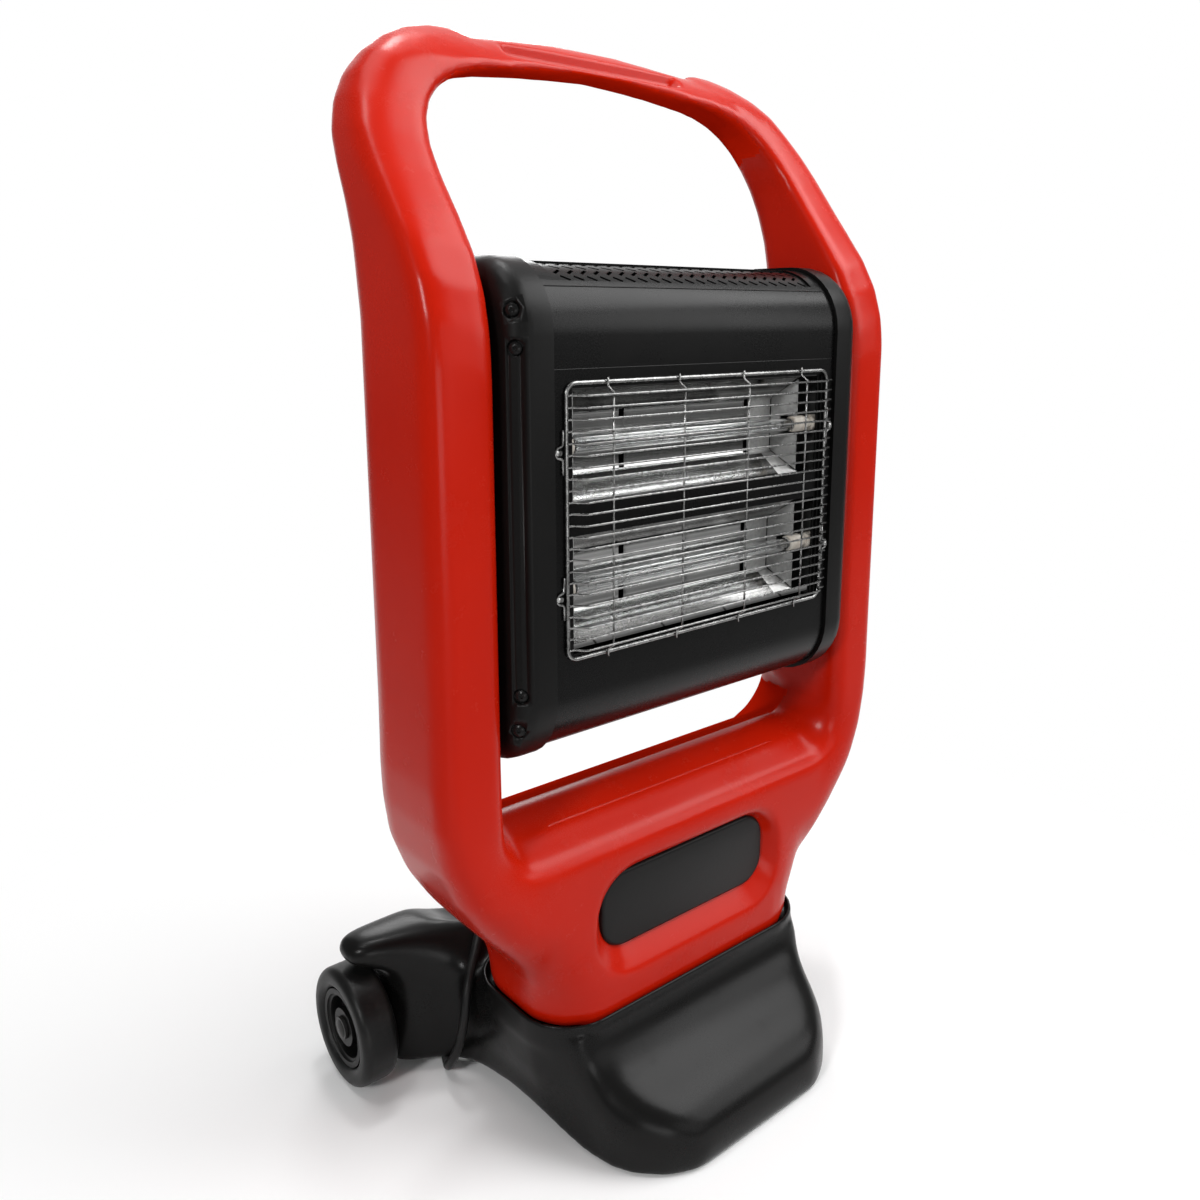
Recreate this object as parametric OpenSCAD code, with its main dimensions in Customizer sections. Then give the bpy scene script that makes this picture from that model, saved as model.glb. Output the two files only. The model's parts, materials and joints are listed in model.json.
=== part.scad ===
// Wheeled halogen infrared heater with a tilting twin lamp head
// Millimetres, X to the viewer's right, Y to the rear, Z up, floor at Z 0
// Lengths across and up are absolute; depths are measured from the plane of the wire guard
// and the whole object is then moved so that its footprint is centred on the origin

/* [Frame] */
// Height of the top of the frame above the floor
frame_h = 848; // [780:1:900]
// Outside width of the frame across the columns
frame_w = 466; // [440:1:480]
// Width of each column in front view
column_w = 52; // [46:0.5:56]
// Width of the neck that stands in the base
neck_w = 286; // [270:1:300]
// Height of the foot of the neck above the floor
neck_z = 96; // [90:1:100]
// Height of the crest of the cross member under the head
crest_z = 270; // [262:1:285]
// Height at which the outside of the columns becomes upright
flare_z = 325; // [305:1:340]
// Outside radius of the upper corners
corner_r = 106; // [95:1:115]
// Depth of the step at each end of the hand grip
grip_step = 5; // [2:0.5:8]
// Thickness of the hand grip in front view
grip_t = 25; // [20:1:32]

/* [Head] */
// Gap between each end cap and its column
head_gap = 4; // [3:0.5:8]
// Height of the casing
casing_h = 349; // [330:1:350]
// Depth of the casing from front panel to back
casing_d = 110; // [100:1:116]
// Depth of the front panel behind the plane of the guard
casing_front = 3; // [2.5:0.5:6]
// Height of the head above the crest of the cross member
head_up = 55; // [48:0.5:60]
// Radius of the upper and lower front corners of the casing
casing_r = 50; // [35:1:60]
// Sheet thickness of the casing
sheet_t = 1.5; // [1:0.1:2.5]
// Length of each end cap
cap_l = 31; // [28:0.5:32]
// Height of the end cap rim above the casing
cap_proud = 3; // [2:0.5:5]
// Rounding of the outer rim of the end caps
cap_rim = 16; // [12:1:18]
// Width of the front panel beside the lamp opening
panel_side = 15; // [12:0.5:20]
// Height of the lamp opening in the front panel
window_h = 185; // [170:1:188]
// Distance of the middle of the lamp opening below the tilt axis
window_drop = 2.5; // [0:0.5:5]
// Height of the bar between the two lamps
divider_h = 23; // [16:1:28]
// Diameter of the quartz tubes
tube_d = 11; // [9:0.5:12]
// Height of the mouth of each reflector
tray_h = 78; // [70:1:80]
// Width of the mouth of each reflector
tray_w = 213; // [200:1:220]
// Depth of the reflectors
tray_d = 22; // [18:1:30]

/* [Guard] */
// Distance of the rim wire outside the sides of the lamp opening
rim_side = 4.5; // [3:0.5:6]
// Distance of the rim wire outside the top and bottom of the lamp opening
rim_over = 3.5; // [2.5:0.5:5]
// Diameter of the rim wire
rim_wire = 3; // [2.6:0.1:4]
// Diameter of the bar wire
bar_wire = 1.6; // [1.4:0.1:2.4]
// Number of horizontal bars
bar_n = 23; // [15:1:25]
// Distance of the bars in front of the guard plane
bar_out = 8.5; // [7:0.5:14]

/* [Base and wheels] */
// Wheel diameter
wheel_d = 100; // [90:1:110]
// Wheel width
wheel_w = 32; // [28:1:36]
// Overall width across the wheels
track_w = 468; // [466:1:480]
// Depth of the axle behind the guard plane
axle_y = 195; // [190:1:205]
// Axle diameter
axle_d = 10; // [8:1:12]
// Depth of the front of the foot in front of the guard plane
foot_out = 72; // [66:1:80]
// Thickness of the lip round the neck
lip_t = 5; // [4:0.5:7]

/* [Pivots and switches] */
// Diameter of the tilt pins
pin_d = 12; // [10:1:14]
// Depth of the tilt axis behind the guard plane
tilt_y = 58; // [52:1:64]
// Width of each rocker
rocker_w = 12; // [10:0.5:14]
// Height of each rocker
rocker_h = 21; // [18:0.5:24]

/* [Cord] */
// Diameter of the mains cord
cord_d = 8; // [7:0.5:8.5]
// Radius of the outer turn of the coil
coil_r = 56; // [52:1:60]

/* [Fits] */
// Radial running clearance of pins and axles
run_fit = 0.05; // [0.02:0.01:0.1]
// Gap between pieces that move past each other
gap = 0.4; // [0.3:0.1:1]

/* [Hidden] */
$fn = 48;
shift_y = -(axle_y + wheel_d / 2 - foot_out) / 2;
hw = frame_w / 2;
hi = hw - column_w;
hn = neck_w / 2;
cap_x = hi - head_gap;
casing_w = 2 * (cap_x - cap_l);
casing_back = casing_front + casing_d;
casing_rb = 20;
coil_turns = 2.5;
tilt_z = crest_z + head_up + cap_proud + casing_h / 2;
window_w = casing_w - 2 * panel_side;
window_z = tilt_z - window_drop;
rim_w = window_w + 2 * rim_side;
rim_h = window_h + 2 * rim_over;
wheel_in = track_w / 2 - wheel_w;
corner_z = frame_h - corner_r;
grip_z = frame_h - grip_step + 3;

function smooth(t) = let (u = max(0, min(1, t))) u * u * (3 - 2 * u);
function bez(a, b, c, d, t) =
    pow(1 - t, 3) * a + 3 * t * pow(1 - t, 2) * b + 3 * t * t * (1 - t) * c + pow(t, 3) * d;
function part_of(a, b, t) = a + (b - a) * t;
function seg_dist(p, a, b) =
    let (v = b - a, n = v * v, t = n < 1e-9 ? 0 : max(0, min(1, ((p - a) * v) / n))) norm(p - a - t * v);
function line_dist(p, l) = min([for (i = [0 : len(l) - 2]) seg_dist(p, l[i], l[i + 1])]);
function rise(d, r) = d >= r ? 0 : r - sqrt(max(0, r * r - (r - d) * (r - d)));

// Front and rear of the frame in side view, depth for a height
front_line = [[0, 7.5], [210, 8], [300, 10.5], [345, 11], [618, 11], [640, 14], [660, 20], [680, 30],
    [700, 44], [727, 65], [760, 88], [785, 103], [800, 111], [818, 119], [832, 132], [848, 152]];
rear_line = [[0, 132], [210, 132], [260, 128], [300, 122], [360, 119], [640, 119], [690, 122],
    [720, 129], [745, 138], [775, 150], [800, 158], [848, 164]];
function top_ref(z) = z < 600 ? z : 848 + (z - frame_h) * (248 / (frame_h - 600));
function front_y(z) = lookup(top_ref(z), front_line);
function rear_y(z) = lookup(top_ref(z), rear_line);
// Rounding of the outer and inner edges at the front and at the rear, by height
front_outer = [[118, 44], [135, 37], [160, 29], [200, 22], [260, 16], [320, 13], [630, 13], [690, 13],
    [740, 18], [815, 19], [848, 13]];
rear_outer = [[118, 44], [150, 44], [200, 36], [260, 30], [320, 28], [640, 28], [700, 22], [760, 16],
    [848, 12]];
front_inner = [[343, 12], [640, 12], [700, 9], [848, 8]];
rear_inner = [[343, 22], [640, 22], [700, 19], [760, 13], [848, 9]];
function outer_round(z, back) = lookup(top_ref(z), back ? rear_outer : front_outer);
function inner_round(z, back) = lookup(top_ref(z), back ? rear_inner : front_inner);
// Rise of the cross member's roof from its front edge back to the crest, by distance from the crest
sill_front = [[0, 55], [2, 50], [7, 34], [9, 28], [15, 19], [22, 7], [31, 0]];
sill_rear = [[0, 54], [2, 46], [7, 29], [9, 23], [15, 12], [22, 4], [31, 0]];
sill_r = 31;

// Outer and inner outline of one half of the frame in front view, from the neck up to the grip
seg_a = [0, 0.3, 0.52, 0.68, 0.8, 0.885, 0.945, 0.985];
seg_b = [0, 0.06, 0.14, 0.24, 0.34, 0.44, 0.54, 0.64, 0.74, 0.84, 0.93];
seg_c = [0, 0.05, 0.12, 0.2, 0.42, 0.62, 0.7, 0.76, 0.82, 0.88, 0.94];
seg_d = [0, 0.13, 0.26, 0.39, 0.52, 0.65, 0.78, 0.9];
seg_e = [0, 0.05, 0.1, 0.17, 0.45, 0.72, 1];
function neck_side(t) = t < 0.14 ? [hn, neck_z + t / 0.14 * 22] :
    let (u = (t - 0.14) / 0.86)
    bez([hn, neck_z + 22], [hn + 2, neck_z + 84], [hw, neck_z + 90], [hw, flare_z], u);
function grip_line(t) = let (x = (hw - corner_r) * (1 - t))
    [x, frame_h - 2 - grip_step * smooth((t - 0.03) / 0.08) + (grip_step + 2) * smooth((t - 0.08) / 0.7)];
outer_half = concat(
    [for (t = seg_a) [hn * t, neck_z]],
    [for (t = seg_b) neck_side(t)],
    [for (t = seg_c) [hw, part_of(flare_z, corner_z - 2, t)]],
    [for (t = seg_d) [hw - corner_r + corner_r * cos(90 * t), corner_z - 2 + corner_r * sin(90 * t)]],
    [for (t = seg_e) grip_line(t)]);
// Fillet between the crest and the inside of a column
fillet_w = 24;
fillet_h = 30;
crest_x = hi - fillet_w;
crest_up = crest_z + fillet_h;
inner_up = frame_h - 118;
under_z = grip_z - grip_t;
arch_z = under_z - 6;
inner_half = concat(
    [for (t = seg_a) [crest_x * t, crest_z]],
    [for (t = seg_b) bez([crest_x, crest_z], [crest_x + 0.6 * fillet_w, crest_z],
        [hi, crest_z + 0.4 * fillet_h], [hi, crest_up], t)],
    [for (t = seg_c) [hi, part_of(crest_up, inner_up, t)]],
    [for (t = seg_d)
        bez([hi, inner_up], [hi, inner_up + 60], [hi - 31, arch_z - 5], [hi - 91, arch_z], t)],
    [for (t = seg_e) [(hi - 91) * (1 - t), part_of(arch_z, under_z, t)]]);
half_n = len(outer_half);
na = len(seg_a);
nb = len(seg_b);
// How far a station belongs to the cross member rather than to a column; at the rear the roof of the
// cross member runs on up the column before it fades
function sill_share(i, back) = 1 - (back ? smooth((i - na - nb + 2) / 4) : smooth((i - na) / (nb - 1)));
// Outline that the outside rounding follows, carried on below the foot of the neck
round_line = concat([[hn, 0]], [for (i = [na : half_n - 1]) outer_half[i]]);
inner_steps = [0, 0.07, 0.23, 0.3, 0.49, 0.72, 1];
outer_steps = [1, 0.6, 0.32, 0.12, 0];
function across(i) =
    let (s = sill_share(i, true), z = (inner_half[i][1] + outer_half[i][1]) / 2,
        l = norm(outer_half[i] - inner_half[i]),
        ri = min(0.46 * l, part_of(inner_round(z, true), sill_r, s)),
        ro = min(0.5 * l, outer_round(outer_half[i][1], true)))
    concat([for (f = inner_steps) f * ri / l], [part_of(ri / l, 1 - ro / l, 0.5)],
        [for (f = outer_steps) 1 - f * ro / l]);
function skin(i, f, back) =
    let (p = part_of(inner_half[i], outer_half[i], f), z = p[1], s = sill_share(i, back),
        yf = front_y(z), yr = rear_y(z), lim = 0.42 * (yr - yf),
        di = line_dist(p, inner_half), do = line_dist(p, round_line),
        ro = min(lim, outer_round(z, back)), ri = min(lim, inner_round(z, back)),
        rs = back ? lookup(di, sill_rear) : lookup(di, sill_front),
        up = max(rise(do, ro), part_of(rise(di, ri), rs, s)))
    [p[0], back ? yr - up : yf + up, z];
half_loops = [for (i = [0 : half_n - 1]) let (a = across(i), n = len(a))
    concat([for (k = [0 : n - 1]) skin(i, a[k], false)], [for (k = [n - 1 : -1 : 0]) skin(i, a[k], true)])];
loop_n = len(half_loops[0]);
ring_loops = concat(half_loops,
    [for (i = [half_n - 2 : -1 : 1]) [for (p = half_loops[i]) [-p[0], p[1], p[2]]]]);

// Closed ring of loops
module ring_solid(loops) {
    n = len(loops);
    m = len(loops[0]);
    pts = [for (l = loops) for (p = l) p];
    tris = [for (i = [0 : n - 1]) for (j = [0 : m - 1])
        let (a = i * m + j, b = i * m + (j + 1) % m, k = ((i + 1) % n) * m, c = k + (j + 1) % m, d = k + j)
        each [[a, c, b], [a, d, c]]];
    polyhedron(points = pts, faces = tris, convexity = 10);
}

// Signed volume of a run of loops, to tell which way round it is listed
function sum(v) = [for (x = v) 1] * v;
function run_volume(loops) = let (n = len(loops), m = len(loops[0]), o = loops[0][0])
    sum([for (i = [0 : n - 2]) for (j = [0 : m - 1])
        let (a = loops[i][j] - o, b = loops[i][(j + 1) % m] - o, c = loops[i + 1][(j + 1) % m] - o,
            d = loops[i + 1][j] - o) cross(b, c) * a + cross(c, d) * a])
    + sum([for (j = [1 : m - 2]) let (k = loops[n - 1], a = k[0] - o) cross(k[j] - o, k[j + 1] - o) * a]);

// Run of loops closed by a flat face at each end
module run_solid(list) {
    n = len(list);
    m = len(list[0]);
    loops = run_volume(list) > 0 ? [for (k = [n - 1 : -1 : 0]) list[k]] : list;
    pts = [for (l = loops) for (p = l) p];
    tris = [for (i = [0 : n - 2]) for (j = [0 : m - 1])
        let (a = i * m + j, b = i * m + (j + 1) % m, c = (i + 1) * m + (j + 1) % m, d = (i + 1) * m + j)
        each [[a, b, c], [a, c, d]]];
    ends = [for (l = [loops[0], loops[n - 1]]) sum(l) / m];
    first = [for (j = [0 : m - 1]) [(j + 1) % m, j, n * m]];
    last = [for (j = [0 : m - 1]) [(n - 1) * m + j, (n - 1) * m + (j + 1) % m, n * m + 1]];
    polyhedron(points = concat(pts, ends), faces = concat(first, tris, last), convexity = 10);
}

// Rectangle with rounded corners, centred
module round_rect(w, h, r) {
    square([w - 2 * r, h], center = true);
    square([w, h - 2 * r], center = true);
    for (x = [-1, 1], y = [-1, 1]) translate([x * (w / 2 - r), y * (h / 2 - r)]) circle(r);
}

// Solid drawn in side view with depth across and height up, from x0 to x1
module side_plate(x0, x1) {
    translate([x0, 0, 0]) rotate([90, 0, 90]) linear_extrude(x1 - x0) children();
}

// Solid drawn in front view, from depth y0 to depth y1
module front_plate(y0, y1) {
    translate([0, y1, 0]) rotate([90, 0, 0]) linear_extrude(y1 - y0) children();
}

// Rod along X
module x_rod(x0, x1, y, z, d) {
    translate([x0, y, z]) rotate([0, 90, 0]) cylinder(h = x1 - x0, d = d);
}

// Rod along Y
module y_rod(y0, y1, x, z, d) {
    translate([x, y0, z]) rotate([-90, 0, 0]) cylinder(h = y1 - y0, d = d);
}

module in_place() {
    translate([0, shift_y, 0]) children();
}

// Loop of a rounded rectangle in front view at one depth
function rect_loop(w, h, r, y, zc) = [for (q = [0 : 3]) for (k = [0 : 5])
    let (a = 90 * q + 18 * k, sx = (q == 0 || q == 3) ? 1 : -1, sz = q < 2 ? 1 : -1)
    [sx * (w / 2 - r) + r * cos(a), y, zc + sz * (h / 2 - r) + r * sin(a)]];

// Tube of given radius along a list of points, with a reference normal for its first ring
function unit(v) = v / norm(v);
function tangent(p, i) = unit(p[min(i + 1, len(p) - 1)] - p[max(i - 1, 0)]);
function carried(p, n0) = [for (i = 0, n = n0; i < len(p);
    i = i + 1, n = i < len(p) ? unit(n - (n * tangent(p, i)) * tangent(p, i)) : n) n];
function tube_loops(p, r, sides, n0) = let (f = carried(p, unit(n0 - (n0 * tangent(p, 0)) * tangent(p, 0))))
    [for (i = [0 : len(p) - 1]) let (t = tangent(p, i), b = cross(t, f[i]))
        [for (k = [0 : sides - 1]) p[i] + r * (cos(360 * k / sides) * f[i] + sin(360 * k / sides) * b)]];

// Badge recess, a soft edged dish in the front of the neck
badge_w = 184;
badge_h = 65;
badge_z = 181;
badge_back = 23;
badge_t = 5.5;
recess_loops = [rect_loop(212, 95, 40, 4, 176), rect_loop(208, 91, 38, 9, 176),
    rect_loop(198, 80, 36, 14, 178), rect_loop(190, 71, 34, 20, badge_z),
    rect_loop(188, 69, 33, badge_back, badge_z)];

// Mains cord exit at the rear of the neck
gland_x = -24;
gland_z = 140;
gland_y = rear_y(gland_z);
gland_l = 26;

// Bolts that hold the neck down on the base
bolt_x = 70;
bolt_y = 70;
bolt_d = 8;

module frame_moulding() {
    color("red") in_place() difference() {
        ring_solid(ring_loops);
        run_solid(recess_loops);
        x_rod(hi - 6, hi + 28, tilt_y, tilt_z, pin_d);
        x_rod(-hi - 28, -hi + 6, tilt_y, tilt_z, pin_d);
        y_rod(gland_y - 14, gland_y + 6, gland_x, gland_z, 12);
        for (s = [-1, 1]) translate([s * bolt_x, bolt_y, neck_z - 2]) cylinder(h = 26, d = bolt_d);
        translate([0, 134, frame_h - 15]) rotate([-37, 0, 0]) cube([176, 5, 12], center = true);
    }
}

module badge_plate() {
    color("dimgray") in_place() translate([0, 0, badge_z]) {
        front_plate(badge_back - badge_t + 1.5, badge_back) round_rect(badge_w, badge_h, 30);
        front_plate(badge_back - badge_t, badge_back - badge_t + 1.5) difference() {
            round_rect(badge_w - 3, badge_h - 3, 28.5);
            round_rect(badge_w - 17, badge_h - 17, 21.5);
        }
    }
}

// Base in sections from front to rear: underside, top, middle of the top, half width, lean, overhang
// above the wheels and edge rounding, each by depth
nose_y = -foot_out;
pod_w = wheel_in - 6;
over_w = wheel_w - 1;
base_under = [[nose_y, 9], [nose_y + 0.6, 5], [nose_y + 1.6, 2], [nose_y + 3, 0.5], [nose_y + 5, 0], [0, 0],
    [20, 4], [45, 13], [60, 16], [85, 16], [105, 13], [122, 11.5], [140, 11], [axle_y + 33, 11]];
base_top = [[nose_y, 20], [nose_y + 1, 26], [nose_y + 2.5, 30], [nose_y + 5, 34], [nose_y + 10, 40],
    [nose_y + 18, 46], [nose_y + 28, 52], [nose_y + 40, 58], [nose_y + 52, 65], [-10, 73], [-4, 80], [0, 87],
    [2, 93], [4, neck_z], [134, neck_z], [138, 99], [axle_y - 49, 107], [axle_y - 40, 115],
    [axle_y - 29, 123], [axle_y - 17, 128], [axle_y + 9, 128], [axle_y + 19, 125], [axle_y + 26, 117],
    [axle_y + 31, 106], [axle_y + 33, 96]];
base_half = [[nose_y, 62], [nose_y + 1, 68], [nose_y + 3, 73], [nose_y + 6, 80], [nose_y + 12, 91],
    [nose_y + 20, 101], [nose_y + 32, 112], [nose_y + 47, 120], [-2, hn - 18], [20, hn - 14], [40, hn - 9],
    [60, hn - 6], [90, hn - 4], [107, hn - 3], [122, hn - 1], [131, hn + 3], [axle_y - 52, pod_w - 42],
    [axle_y - 43, pod_w - 32], [axle_y - 37, pod_w - 21], [axle_y - 29, pod_w - 8], [axle_y - 21, pod_w - 1],
    [axle_y - 13, pod_w], [axle_y + 19, pod_w], [axle_y + 26, pod_w - 3], [axle_y + 31, pod_w - 9],
    [axle_y + 33, pod_w - 16]];
base_lean = [[-30, 0], [0, 1], [20, 7], [40, 11], [60, 10], [90, 8], [115, 5], [130, 0], [145, -8],
    [axle_y - 30, -6], [axle_y - 13, 0], [axle_y + 33, 0]];
base_over = [[-37, 0], [-31, 0.1], [-25, 0.32], [-19, 0.68], [-12, 0.94], [-5, 1], [13, 1], [19, 0.9],
    [24, 0.65], [28, 0.32], [31, 0]];
base_edge = [[nose_y, 4], [nose_y + 6, 14], [nose_y + 22, 22], [-20, 24], [0, 18], [5, 6], [134, 6],
    [142, 14], [axle_y - 35, 26], [axle_y + 10, 28], [axle_y + 33, 22]];
base_cuts = concat([for (d = [0, 0.6, 1.5, 2.8, 4.8, 7.5, 12, 18, 25, 32, 40, 47, 54]) nose_y + d],
    [-12, -7, -3, 0, 2, 4, 12, 22, 32, 42, 54, 68, 84, 98, 110, 120, 128, 134, 140],
    [for (d = [-49, -43, -37, -31, -25, -19, -12, -5, 4, 13, 19, 24, 28, 31, 33]) axle_y + d]);
// Height of the underside of the overhang, clear of the wheel
over_z = wheel_d + 3;
pod_top = [[0.73, 1], [0.64, 0.68], [0.56, 0.28], [0.46, 0], [0.23, 0]];
function base_half_loop(y) =
    let (b = lookup(y, base_under), h = lookup(y, base_top), w = lookup(y, base_half),
        m = lookup(y, base_lean), o = over_w * lookup(y - axle_y, base_over), k = smooth(o / over_w * 1.1),
        c = min(neck_z, h),
        e = min(lookup(y, base_edge), 0.45 * (h - b)), r = part_of(e, max(4, (h - over_z) / 2), k),
        q = min(4, 0.25 * (h - b)), x = w + m + o - r, d = part_of(b + q, h - e, 0.85))
    concat([[w * 0.5, y, b], [w - q, y, b], [w - 0.3 * q, y, b + 0.3 * q], [w, y, b + q]],
        [for (t = [0.33, 0.66]) [w + m * smooth(t), y, part_of(b + q, d, t)]],
        [[w + m, y, part_of(d, h - 2 * r, k)]],
        [for (j = [0 : 6]) let (a = part_of(-82 * k, 90, j / 6)) [x + r * cos(a), y, h - r + r * sin(a)]],
        [for (t = pod_top) [x * t[0], y, part_of(c, h, t[1])]]);
base_loops = [for (y = base_cuts) let (l = base_half_loop(y), n = len(l), b = lookup(y, base_under))
    concat([[0, y, b]], l, [[0, y, min(neck_z, lookup(y, base_top))]],
        [for (k = [n - 1 : -1 : 0]) [-l[k][0], l[k][1], l[k][2]]])];
lip_y = (front_y(neck_z) + rear_y(neck_z)) / 2;
lip_d = rear_y(neck_z) - front_y(neck_z);
neck_r = outer_round(neck_z, true);
// Room round the neck inside the lip, because the neck flares a little above its foot
lip_room = gap + 1.6;

module base_moulding() {
    color("black") in_place() difference() {
        union() {
            run_solid(base_loops);
            translate([0, lip_y, neck_z - 12]) linear_extrude(23) difference() {
                round_rect(neck_w + 2 * (gap + lip_t), lip_d + 2 * (gap + lip_t), neck_r + gap + lip_t);
                round_rect(neck_w + 2 * lip_room, lip_d + 2 * lip_room, neck_r + gap);
            }
        }
        x_rod(-track_w / 2 - gap, track_w / 2 + gap, axle_y, wheel_d / 2, axle_d);
        for (s = [-1, 1]) translate([s * bolt_x, bolt_y, 5]) cylinder(h = 100, d = bolt_d);
        for (s = [-1, 1]) translate([s * bolt_x, bolt_y, 5]) cylinder(h = 23, d = 18);
    }
}

module neck_bolts() {
    color("silver") in_place() for (s = [-1, 1]) translate([s * bolt_x, bolt_y, 0]) {
        translate([0, 0, 23]) cylinder(h = 5, d = 14);
        translate([0, 0, 28]) cylinder(h = neck_z - 28 + 20, d = bolt_d);
    }
}

module axle_rod() {
    color("silver") in_place() x_rod(-track_w / 2 + 4, track_w / 2 - 4, axle_y, wheel_d / 2, axle_d);
}

tyre_t = 17;
well_r = wheel_d / 2 - tyre_t;

// One wheel drawn about Z with its outer face up
module wheel_body() {
    rotate_extrude() difference() {
        union() {
            translate([axle_d / 2 + run_fit, 0]) square([11, wheel_w - 4 - gap]);
            translate([axle_d / 2 + run_fit, 9]) square([well_r - 10, 7]);
            translate([well_r - 7, 3]) square([7, wheel_w - 6]);
        }
        translate([well_r - 7, wheel_w - 3]) circle(2.4);
    }
}

module tyre_body() {
    rotate_extrude() translate([well_r + tyre_t / 2, wheel_w / 2]) round_rect(tyre_t, wheel_w, 7.5);
}

module wheel_right() {
    color("dimgray") in_place() translate([wheel_in, axle_y, wheel_d / 2]) rotate([0, 90, 0]) wheel_body();
}

module wheel_left() {
    color("dimgray") in_place() translate([-wheel_in, axle_y, wheel_d / 2]) rotate([0, -90, 0]) wheel_body();
}

module tyre_right() {
    color("black") in_place() translate([wheel_in, axle_y, wheel_d / 2]) rotate([0, 90, 0]) tyre_body();
}

module tyre_left() {
    color("black") in_place() translate([-wheel_in, axle_y, wheel_d / 2]) rotate([0, -90, 0]) tyre_body();
}

module hub_cap(s) {
    in_place() translate([s * (track_w / 2 - 4), axle_y, wheel_d / 2]) rotate([0, s * 90, 0]) {
        translate([0, 0, 0]) cylinder(h = 2.4, d = 19);
        intersection() {
            translate([0, 0, -16]) sphere(20);
            cylinder(h = 4, d = 15);
        }
    }
}

module hub_cap_right() {
    color("gray") hub_cap(1);
}

module hub_cap_left() {
    color("gray") hub_cap(-1);
}

module pivot_pin(s) {
    in_place() x_rod(s > 0 ? cap_x - 24 : -hi - 26, s > 0 ? hi + 26 : -cap_x + 24, tilt_y, tilt_z, pin_d);
}

module pivot_pin_right() {
    color("silver") pivot_pin(1);
}

module pivot_pin_left() {
    color("silver") pivot_pin(-1);
}

module pivot_washer(s) {
    in_place() difference() {
        x_rod(s > 0 ? cap_x + gap : -hi, s > 0 ? hi : -cap_x - gap, tilt_y, tilt_z, 44);
        x_rod(s * hi - 10, s * hi + 10, tilt_y, tilt_z, pin_d);
    }
}

module pivot_washer_right() {
    color("gray") pivot_washer(1);
}

module pivot_washer_left() {
    color("gray") pivot_washer(-1);
}

module cable_gland() {
    color("black") in_place() translate([gland_x, gland_y, gland_z]) rotate([-90, 0, 0]) {
        translate([0, 0, -12]) cylinder(h = 12.5, d = 12);
        cylinder(h = 7, d = 20);
        translate([0, 0, 7]) cylinder(h = gland_l - 7, d1 = 15, d2 = cord_d + 2);
    }
}

// Casing profile in side view, drawn inward by i
module d_profile(i) {
    f = casing_front;
    b = casing_back;
    t = tilt_z + casing_h / 2;
    u = tilt_z - casing_h / 2;
    translate([f + casing_r, u + i]) square([b - casing_rb - f - casing_r, t - u - 2 * i]);
    translate([f + i, u + casing_r]) square([casing_r, t - u - 2 * casing_r]);
    translate([b - casing_rb - 1, u + casing_rb]) square([casing_rb + 1 - i, t - u - 2 * casing_rb]);
    for (z = [u + casing_r, t - casing_r]) translate([f + casing_r, z]) circle(casing_r - i);
    for (z = [u + casing_rb, t - casing_rb]) translate([b - casing_rb, z]) circle(casing_rb - i);
}

// The same profile as a list of points
function d_loop(i, x) =
    let (f = casing_front + casing_r, b = casing_back - casing_rb, t = tilt_z + casing_h / 2,
        u = tilt_z - casing_h / 2, rf = casing_r - i, rb = casing_rb - i)
    concat([for (k = [0 : 9]) [x, f - rf * cos(10 * k), t - casing_r + rf * sin(10 * k)]],
        [for (k = [0 : 6]) [x, b + rb * sin(15 * k), t - casing_rb + rb * cos(15 * k)]],
        [for (k = [0 : 6]) [x, b + rb * cos(15 * k), u + casing_rb - rb * sin(15 * k)]],
        [for (k = [0 : 9]) [x, f - rf * sin(10 * k), u + casing_r - rf * cos(10 * k)]]);

vent_w = casing_w - 28;
vent_a0 = 6;
vent_a1 = 44;
// Slanted slots of the vent: number in a row, length, width and sideways shift of every other row
vent_n = 22;
slot_l = 8;
slot_t = 2.4;
slot_shift = 3;
vent_pitch = (vent_w - slot_l - 0.8) / vent_n;
arc_y = casing_front + casing_r;
arc_z = tilt_z + casing_h / 2 - casing_r;

// Wedge of the upper front corner between two angles from the top
module wedge(a0, a1, r) {
    translate([arc_y, arc_z]) polygon([[0, 0], [-r * sin(a0), r * cos(a0)],
        [-1.1 * r * sin((a0 + a1) / 2), 1.1 * r * cos((a0 + a1) / 2)], [-r * sin(a1), r * cos(a1)]]);
}

module head_casing() {
    color("black") in_place() difference() {
        side_plate(-casing_w / 2, casing_w / 2) difference() {
            d_profile(0);
            d_profile(sheet_t);
        }
        translate([0, 0, window_z]) front_plate(casing_front - 2, casing_front + 4)
            square([window_w, window_h], center = true);
        side_plate(-vent_w / 2, vent_w / 2) difference() {
            wedge(vent_a0, vent_a1, casing_r + 8);
            translate([arc_y, arc_z]) circle(casing_r - 6);
        }
    }
}

module top_vent() {
    r = casing_r - sheet_t;
    color("black") in_place() difference() {
        side_plate(-vent_w / 2 - 4, vent_w / 2 + 4) intersection() {
            wedge(vent_a0 - 5, vent_a1 + 5, casing_r + 8);
            difference() {
                translate([arc_y, arc_z]) circle(r);
                translate([arc_y, arc_z]) circle(r - 1);
            }
        }
        for (a = [0 : 3], k = [0 : vent_n - 1])
            translate([(k - (vent_n - 1) / 2) * vent_pitch + (a % 2) * slot_shift, arc_y, arc_z])
                rotate([vent_a0 + 6 + a * 9, 0, 0]) translate([0, 0, r])
                    rotate([0, 0, a % 2 == 0 ? 35 : -35]) cube([slot_l, slot_t, slot_l], center = true);
    }
}

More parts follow.
